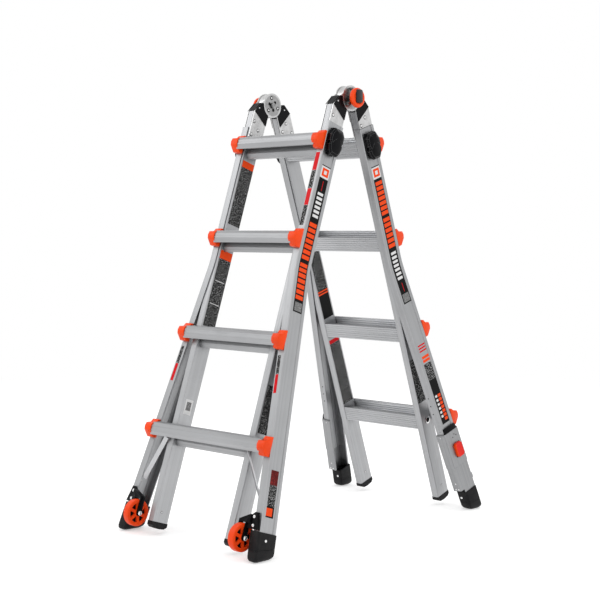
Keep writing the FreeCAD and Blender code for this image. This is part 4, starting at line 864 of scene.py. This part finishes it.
def bootSpot(section, side, offset, n, share):
    # a spot on a boot, at a share of its height between the top and the sole
    top = boots[section]["top"]
    floorAt = ladder["floorLine"] + (n - ladder["middle"]) * math.tan(tilt) - soleLift(section, offset, n)
    s = top + share * (floorAt - top)
    x = ladder["channelIn"] + (s - ladder["bendAt"]) * math.tan(flare) + offset / math.cos(flare)
    return place(section, side * x, n, s)


def bootOutline(section, side, limits, insets, corner, share):
    low, high, near, far = limits
    width, depth = high - low - 2 * insets[0], far - near - 2 * insets[1]
    return [bootSpot(section, side, (low + high) / 2 + u, (near + far) / 2 + v, share)
            for u, v in roundedRectangle(width, depth, corner)]


def makeBoots():
    # moulded boots: rounded corners and sole, a seam groove, and a pocket for the leg
    for section, sideName, side in legs:
        outside, pocket = boots[section]["outside"], boots[section]["pocket"]
        rings = [bootOutline(section, side, outside, (across, along), corner, 1.0)
                 for across, along, corner in boots["sole"]]
        rings += [bootOutline(section, side, outside, (inset, inset), boots["corner"], share)
                  for share, inset in boots["profile"]]
        rings += [bootOutline(section, side, pocket, (0, 0), boots["pocketCorner"], share)
                  for share in (0.0, boots["pocketDeep"])]
        mesh = smoothed(loft("boot", rings, "rubber"), 40)
        name = "front_foot" if section == "front" else "leveler_foot"
        body = "front_outer" if section == "front" else f"leveler_{sideName}"
        newPiece(f"boot_{section}_{sideName}", mesh, body, [f"{name}_{sideName}"])


makeBoots()

rungRibs = {
    "pitch": 7.0,
    "high": 2.4,
    "proud": 1.4,
    "outer": {"face": 70.0, "from": -20.0, "ribs": 5, "margin": 5.0},
    "inner": {"face": 11.5, "from": -15.5, "ribs": 6, "margin": 2.0},
}


def ribTree():
    # long low ribs, one for each point, as long as the point's own reach on both sides
    tree, given = groupTree("rungRibs", ("Rib height", "Rib depth"))
    rod = made(tree, "GeometryNodeMeshCylinder", {"Radius": 1.0, "Depth": 1.0, "Vertices": 12})
    laid = made(tree, "GeometryNodeTransform", {"Geometry": rod, "Rotation": (0, math.pi / 2, 0)})
    reach, angle = (attribute(tree, name, "FLOAT") for name in ("reach", "angle"))
    size = combined(tree, reach, given["Rib depth"], given["Rib height"])
    ribs = onPoints(tree, given["Geometry"], laid, combined(tree, angle), Scale=size)
    closeTree(tree, ribs, given["Finish"])
    return tree


def makeRibs():
    # the backs of the rungs are ribbed along their length
    tree = ribTree()
    for section in sections:
        values = {"Rib height": rungRibs["high"] / 2 * mm, "Rib depth": rungRibs["proud"] * mm,
                  "Finish": finishes[f"{section}Rung"]}
        for kind in ("outer", "inner"):
            sizes = rungRibs[kind]
            points, reaches = [], []
            for line in rungLines:
                edge = railLine(line, 0)[0] if kind == "outer" else ladder["tubeIn"]
                for i in range(sizes["ribs"]):
                    s = line + sizes["from"] + i * rungRibs["pitch"]
                    points.append(tuple(place(section, 0, sizes["face"], s)))
                    reaches.append(2 * (edge - sizes["margin"]) * mm)
            base = bpy.data.meshes.new("points")
            base.from_pydata(points, [], [])
            lean = -tilt if section == "front" else tilt
            for label, amounts in (("reach", reaches), ("angle", [lean] * len(points))):
                base.attributes.new(label, "FLOAT", "POINT").data.foreach_set("value", amounts)
            newPiece(f"{section}{kind.capitalize()}RungRibs", grown(base, tree, values), f"{section}_{kind}")


makeRibs()

strap = {
    "top": (175.0, 78.0, 1096.5),
    "foot": (251.0, 59.0, 1227.0),
    "normal": (-0.48, -0.84, -0.2),
    "width": 13.0,
    "lip": 4.0,
    "thick": 1.3,
}


def makeBraces():
    # channel straps from the lowest front rung down to the legs
    pieces = []
    for side in sides.values():
        ends = [place("front", side * x, n, s) for x, n, s in (strap["top"], strap["foot"])]
        along = (ends[1] - ends[0]).normalized()
        normal = Vector((side * strap["normal"][0], *strap["normal"][1:]))
        normal = (normal - along * normal.dot(along)).normalized()
        across = along.cross(normal)
        half, lip, thick = strap["width"] / 2, strap["lip"], strap["thick"]
        profile = [(-half, 0), (-half, -lip), (thick - half, -lip), (thick - half, -thick),
                   (half - thick, -thick), (half - thick, -lip), (half, -lip), (half, 0)]
        pieces.append([[end + (across * u + normal * v) * mm for u, v in profile] for end in ends])
    mesh, other = (loft("strap", rings, "polishedStrap") for rings in pieces)
    with edited(mesh) as work:
        work.from_mesh(other)
    newPiece("rungBraces", mesh, "front_outer", ["front_rung_braces"])


makeBraces()
print("boots and braces made")

rocker = {
    "middle": (38.0, 157.7),
    "outline": [
        (20.7, 116.8), (53.5, 116.8), (65.7, 139.6), (65.7, 158.0), (61.0, 164.0), (65.7, 171.0),
        (60.5, 187.0), (53.0, 198.6), (24.0, 198.6), (14.5, 187.0), (10.3, 171.0), (15.0, 163.0),
        (10.3, 155.0), (10.3, 130.5),
    ],
    # x from the centre plane, share of the outline, and shift along the rail
    "levels": [
        (204.0, 0.78, 0), (194.6, 0.80, 0), (194.6, 1.0, 0), (201.0, 1.0, 0), (206.2, 0.86, -1),
        (209.0, 0.60, -6), (210.2, 0.36, -11),
    ],
    "edge": 0.7,
    "edgeAngle": 21,
}


def makeRockers():
    # faceted rock locks whose bevelled edges carry a lighter grey as painted glints, hollow over their housings
    middleN, middleS = rocker["middle"]
    for section, sideName, side in legs:
        rings = []
        for x, share, shift in rocker["levels"]:
            spots = [(middleN + (n - middleN) * share, middleS + shift + (s - middleS) * share)
                     for n, s in rocker["outline"]]
            rings.append([place(section, side * x, n, s) for n, s in spots])
        mesh = loft("rocker", rings, "glossBlack", extra=["edgeGlintBlack"])
        # the bevel faces take the lighter grey: painted glints along the edges
        mesh = smoothed(bevelled(mesh, rocker["edge"], rocker["edgeAngle"], 1, material=1), 12)
        node = f"{section}_rock_lock_{sideName}"
        newPiece(f"rocker_{section}_{sideName}", mesh, node, [node])


makeRockers()

grip = {
    "width": 27.0,
    "height": 42.0,
    "corner": 7.0,
    "base": 208.6,
    "up": 4.0,
    "levels": ((0.0, 0.0), (7.7, 0.6), (10.23, 1.8), (11.0, 3.6)),     # height over the knob's face, inset
}


def makeGrips():
    # dark grip bar standing on the face of each knob
    for sideName, side in sides.items():
        rings = []
        for rise, inset in grip["levels"]:
            width, height = grip["width"] - 2 * inset, grip["height"] - 2 * inset
            outline = roundedRectangle(width, height, grip["corner"] - inset / 2)
            middle = place("front", side * (grip["base"] + rise), 0, 0) + Vector((0, 0, grip["up"] * mm))
            rings.append([middle + Vector((0, u, v)) * mm for u, v in outline])
        mesh = smoothed(loft("grip", rings, "knobGrey"), 40)
        newPiece(f"knobGrip_{sideName}", mesh, f"hinge_knob_{sideName}")


makeGrips()

sleevePlate = {"alongs": (573.5, 688.5), "corners": ((-3.6, 1.9), (29.4, 1.9), (29.4, 3.4), (-3.6, 3.4))}


def makeSleevePlates():
    # thin plate on each leveler, in the flared leg's own directions
    for sideName, side in sides.items():
        rings = []
        for along in sleevePlate["alongs"]:
            spots = [(*legPoint(along, offset), n) for offset, n in sleevePlate["corners"]]
            rings.append([place("rear", side * x, n, s) for x, s, n in spots])
        mesh = loft("plate", rings, "sleeveAluminium")
        newPiece(f"sleevePlate_{sideName}", mesh, f"leveler_{sideName}")


makeSleevePlates()

buttonEdge = 0.35       # how far a face must lean to the near side to be orange


def makeButtons():
    # release buttons: red face, orange along the edge that leans to the near side
    away = sections["rear"]["out"]
    for sideName in sides:
        node = f"leveler_button_{sideName}"
        mesh = nodes[node].data.copy()
        mesh.materials.append(finishes["capOrange"])
        with edited(mesh) as work:
            bmesh.ops.remove_doubles(work, verts=work.verts, dist=softening["weld"])
            for face in work.faces:
                face.material_index = int(face.normal.dot(away) < -buttonEdge)
        newPiece(f"releaseButton_{sideName}", mesh, node, [node])


makeButtons()
print("knob grips and leveler details made")


def onFace(section, face, side, u, v, proud):
    # a spot on one of a rail's faces: u across it, v down it
    if face == "web":
        x, s = railLine(v, ladder["channelWidth"] - ladder["webRecess"] + proud)
        return place(section, side * x, u, s)
    if face == "flange":
        x, s = railLine(v, u)
        return place(section, side * x, ladder["channelFar"] + proud, s)
    x = ladder["tubeIn"] - proud if face == "tubeInside" else ladder["tubeOut"] + proud
    return place(section, side * x, u, v)


film = {"thick": 0.16, "step": 14.0}


def railLabel(name, body, section, face, side, groups):
    # film of coloured blocks, each (near, far, start, end, layer, colour)
    verts, faces, indices, used = [], [], [], []
    for near, far, start, end, layer, colour in itertools.chain.from_iterable(groups):
        if f"film{colour}" not in used:
            used.append(f"film{colour}")
        count = max(1, round((end - start) / film["step"]))
        top = film["thick"] * (layer + 1)
        base = len(verts)
        for i in range(count + 1):
            v = start + (end - start) * i / count
            corners = ((near, 0.0), (near, top), (far, top), (far, 0.0))
            verts += [onFace(section, face, side, u, v, proud) for u, proud in corners]
        for a in range(base, base + 4 * count, 4):
            faces += [(a + j, a + (j + 1) % 4, a + 4 + (j + 1) % 4, a + 4 + j) for j in range(4)]
        faces += [(base, base + 1, base + 2, base + 3), tuple(base + 4 * count + j for j in (3, 2, 1, 0))]
        indices += [used.index(f"film{colour}")] * (4 * count + 2)
    newPiece(name, closedMesh(name, verts, faces, used, indices), body)


# Plain colour blocks stand where the ladder carries its printed labels.
def run(near, far, layer, *stops):
    # blocks one after another down the rail: start, colour, next start, colour, and so on to the end
    return [(near, far, stops[i], stops[i + 2], layer, stops[i + 1]) for i in range(0, len(stops) - 2, 2)]


def bars(near, far, start, end, count, colour, share=0.72, layer=1):
    # an even run of plain bars
    pitch = (end - start) / count
    return [(near, far, start + i * pitch, start + (i + share) * pitch, layer, colour) for i in range(count)]


webLabel = {
    "front": [
        run(17, 57, 0, 231, "Black", 234, "White", 269),
        run(23, 51, 1, 239, "Orange", 264),
        run(31, 43, 2, 246, "White", 257),
        run(17, 57, 0, 270, "Black", 682),
        run(36, 38, 1, 278, "Red", 308),
        bars(25, 49, 314, 396, 6, "White", 0.6),
        bars(22, 53, 408, 524, 7, "Orange"),
        bars(22, 53, 532, 648, 7, "Orange"),
        run(22, 52, 1, 652, "Grey", 678),
    ],
    "rear": [
        run(19, 59, 0, 222, "Black", 225, "White", 261),
        run(25, 53, 1, 230, "Orange", 256),
        run(33, 45, 2, 237, "White", 249),
        run(19, 59, 0, 262, "Black", 672),
        bars(24, 55, 271, 382, 7, "Orange"),
        bars(24, 55, 388, 490, 6, "Orange"),
        bars(27, 51, 500, 600, 7, "White", 0.6),
        run(38, 40, 1, 606, "Red", 634),
        run(24, 54, 1, 641, "Grey", 668),
    ],
}
lowerWebLabel = {
    "front": [
        run(26, 63, 0, 1137, "Maroon", 1178, "Dark", 1236, "Black", 1267),
        run(32, 58, 1, 1241, "Orange", 1263),
    ],
    "rear": [
        bars(20, 54, 812, 840, 3, "Red", 0.5, layer=0),
        bars(22, 56, 850, 874, 2, "Orange", layer=0),
        run(20, 56, 0, 876, "Dark", 932, "Black", 1081),
        bars(38, 52, 984, 1076, 7, "Orange"),
        bars(25, 35, 984, 1066, 6, "White", 0.55),
    ],
}
flangeLabel = {
    "left": [run(8.5, 20.5, 0, 815, "Dark", 869), run(8.5, 20.5, 0, 870, "Red", 924)],
    "right": [
        run(1, 17, 0, 198, "Red", 254), run(1, 17, 0, 255, "Dark", 310),
        run(1, 17, 0, 311, "Red", 362), run(1, 17, 0, 363, "Dark", 424),
        run(3, 14, 0, 815, "Dark", 869), run(3, 14, 0, 870, "Red", 924),
    ],
}
tubePanels = {
    "frontTubePanel_left": ("front", "tubeInside", -1, [
        run(12, 62, 0, 207, "Orange", 228, "Dark", 415),
        run(12, 62, 0, 500, "Orange", 526, "Dark", 742),
        run(18, 56, 1, 596, "White", 598),
        run(18, 56, 1, 668, "White", 670),
        run(25, 55, 0, 970, "White", 1016),
        run(31, 49, 1, 978, "Grey", 1004),
    ]),
    "rearTubePanel_left": ("rear", "tubeInside", -1, [
        run(12, 60, 0, 506, "Dark", 636, "Black", 656),
        run(12, 60, 1, 639, "Orange", 644),
        run(12, 60, 1, 648, "Orange", 653),
        run(12, 60, 0, 656, "Black", 735),
        run(12, 60, 0, 812, "Red", 825, "Dark", 1045),
    ]),
    "rearTubeSticker_right": ("rear", "tubeOutside", 1, [run(12, 60, 0, 860, "Dark", 1010)]),
    "frontTubeSticker_right": ("front", "tubeOutside", 1, [run(12, 60, 0, 900, "Dark", 1040)]),
}
for section, sideName, side in legs:
    body = f"{section}_outer"
    railLabel(f"{section}WebLabel_{sideName}", body, section, "web", side, webLabel[section])
    railLabel(f"{section}LowerLabel_{sideName}", body, section, "web", side, lowerWebLabel[section])
for sideName, side in sides.items():
    railLabel(f"flangeLabel_{sideName}", "front_outer", "front", "flange", side, flangeLabel[sideName])
for name, (section, face, side, groups) in tubePanels.items():
    railLabel(name, f"{section}_inner", section, face, side, groups)
print("labels placed")

studio = {
    "floor": 16.0,
    "floorTone": 0.80,
    "floorLift": 0.42,          # white added to what the camera sees of the floor
    "floorFade": (1.8, 4.2),    # distance over which the floor turns into the backdrop
    "world": 0.95,
    "lamps": {
        "key": {"at": (-2.1, -2.0, 2.7), "aimHeight": 0.8, "size": 1.6, "power": 13.0},
        "fill": {"at": (3.0, -1.6, 2.9), "aimHeight": 0.6, "size": 2.6, "power": 8.0},
        "back": {"at": (0.8, 3.4, 3.0), "aimHeight": 0.7, "size": 2.6, "power": 10.0},
    },
}


def asSeen(tree, low, high):
    # high for camera, mirror and glass rays, low for the light on the ladder
    path = addNode(tree, "ShaderNodeLightPath").outputs
    clear = maths(tree, "MAXIMUM", path["Is Glossy Ray"], path["Is Transmission Ray"])
    return spread(tree, maths(tree, "MAXIMUM", path["Is Camera Ray"], clear), low, high, 0.0, 1.0)


def makeFloor():
    mesh = bpy.data.meshes.new("floor")
    size = studio["floor"]
    corners = [(-size, -size, 0), (size, -size, 0), (size, size, 0), (-size, size, 0)]
    mesh.from_pydata(corners, [], [(0, 1, 2, 3)])
    floor = linked("floor", mesh)
    tree = newMaterial("paleFloor")
    shader = tree.nodes["Principled BSDF"]
    look = {"Base Color": (*grey(studio["floorTone"]), 1), "Roughness": 0.9, "Specular IOR Level": 0.0,
            "Emission Color": (1, 1, 1, 1)}
    for socket, value in look.items():
        shader.inputs[socket].default_value = value
    tree.links.new(asSeen(tree, 0.0, studio["floorLift"]), shader.inputs["Emission Strength"])
    away = vectorMaths(tree, "LENGTH", {0: objectVector(tree)}, "Value")
    fade = spread(tree, away, 0.0, 1.0, *studio["floorFade"])
    glow = made(tree, "ShaderNodeEmission", {"Strength": asSeen(tree, studio["world"], 1.0)})
    mixed = made(tree, "ShaderNodeMixShader", {0: fade, 1: shader.outputs[0], 2: glow})
    tree.links.new(mixed, tree.nodes["Material Output"].inputs["Surface"])
    mesh.materials.append(finishes["paleFloor"])


def makeLights():
    world = bpy.data.worlds.new("studio")
    scene.world = world
    world.use_nodes = True
    tree = world.node_tree
    background = tree.nodes["Background"]
    background.inputs["Color"].default_value = (1, 1, 1, 1)
    tree.links.new(asSeen(tree, studio["world"], 1.0), background.inputs["Strength"])
    for name, lamp in studio["lamps"].items():
        data = bpy.data.lights.new(name, "AREA")
        data.size = lamp["size"]
        data.energy = lamp["power"]
        light = linked(name, data)
        light.location = lamp["at"]
        aim = Vector((0, 0, lamp["aimHeight"])) - light.location
        light.rotation_euler = aim.to_track_quat("-Z", "Y").to_euler()


makeFloor()
makeLights()
scene.view_settings.view_transform = "Standard"
print("studio ready")
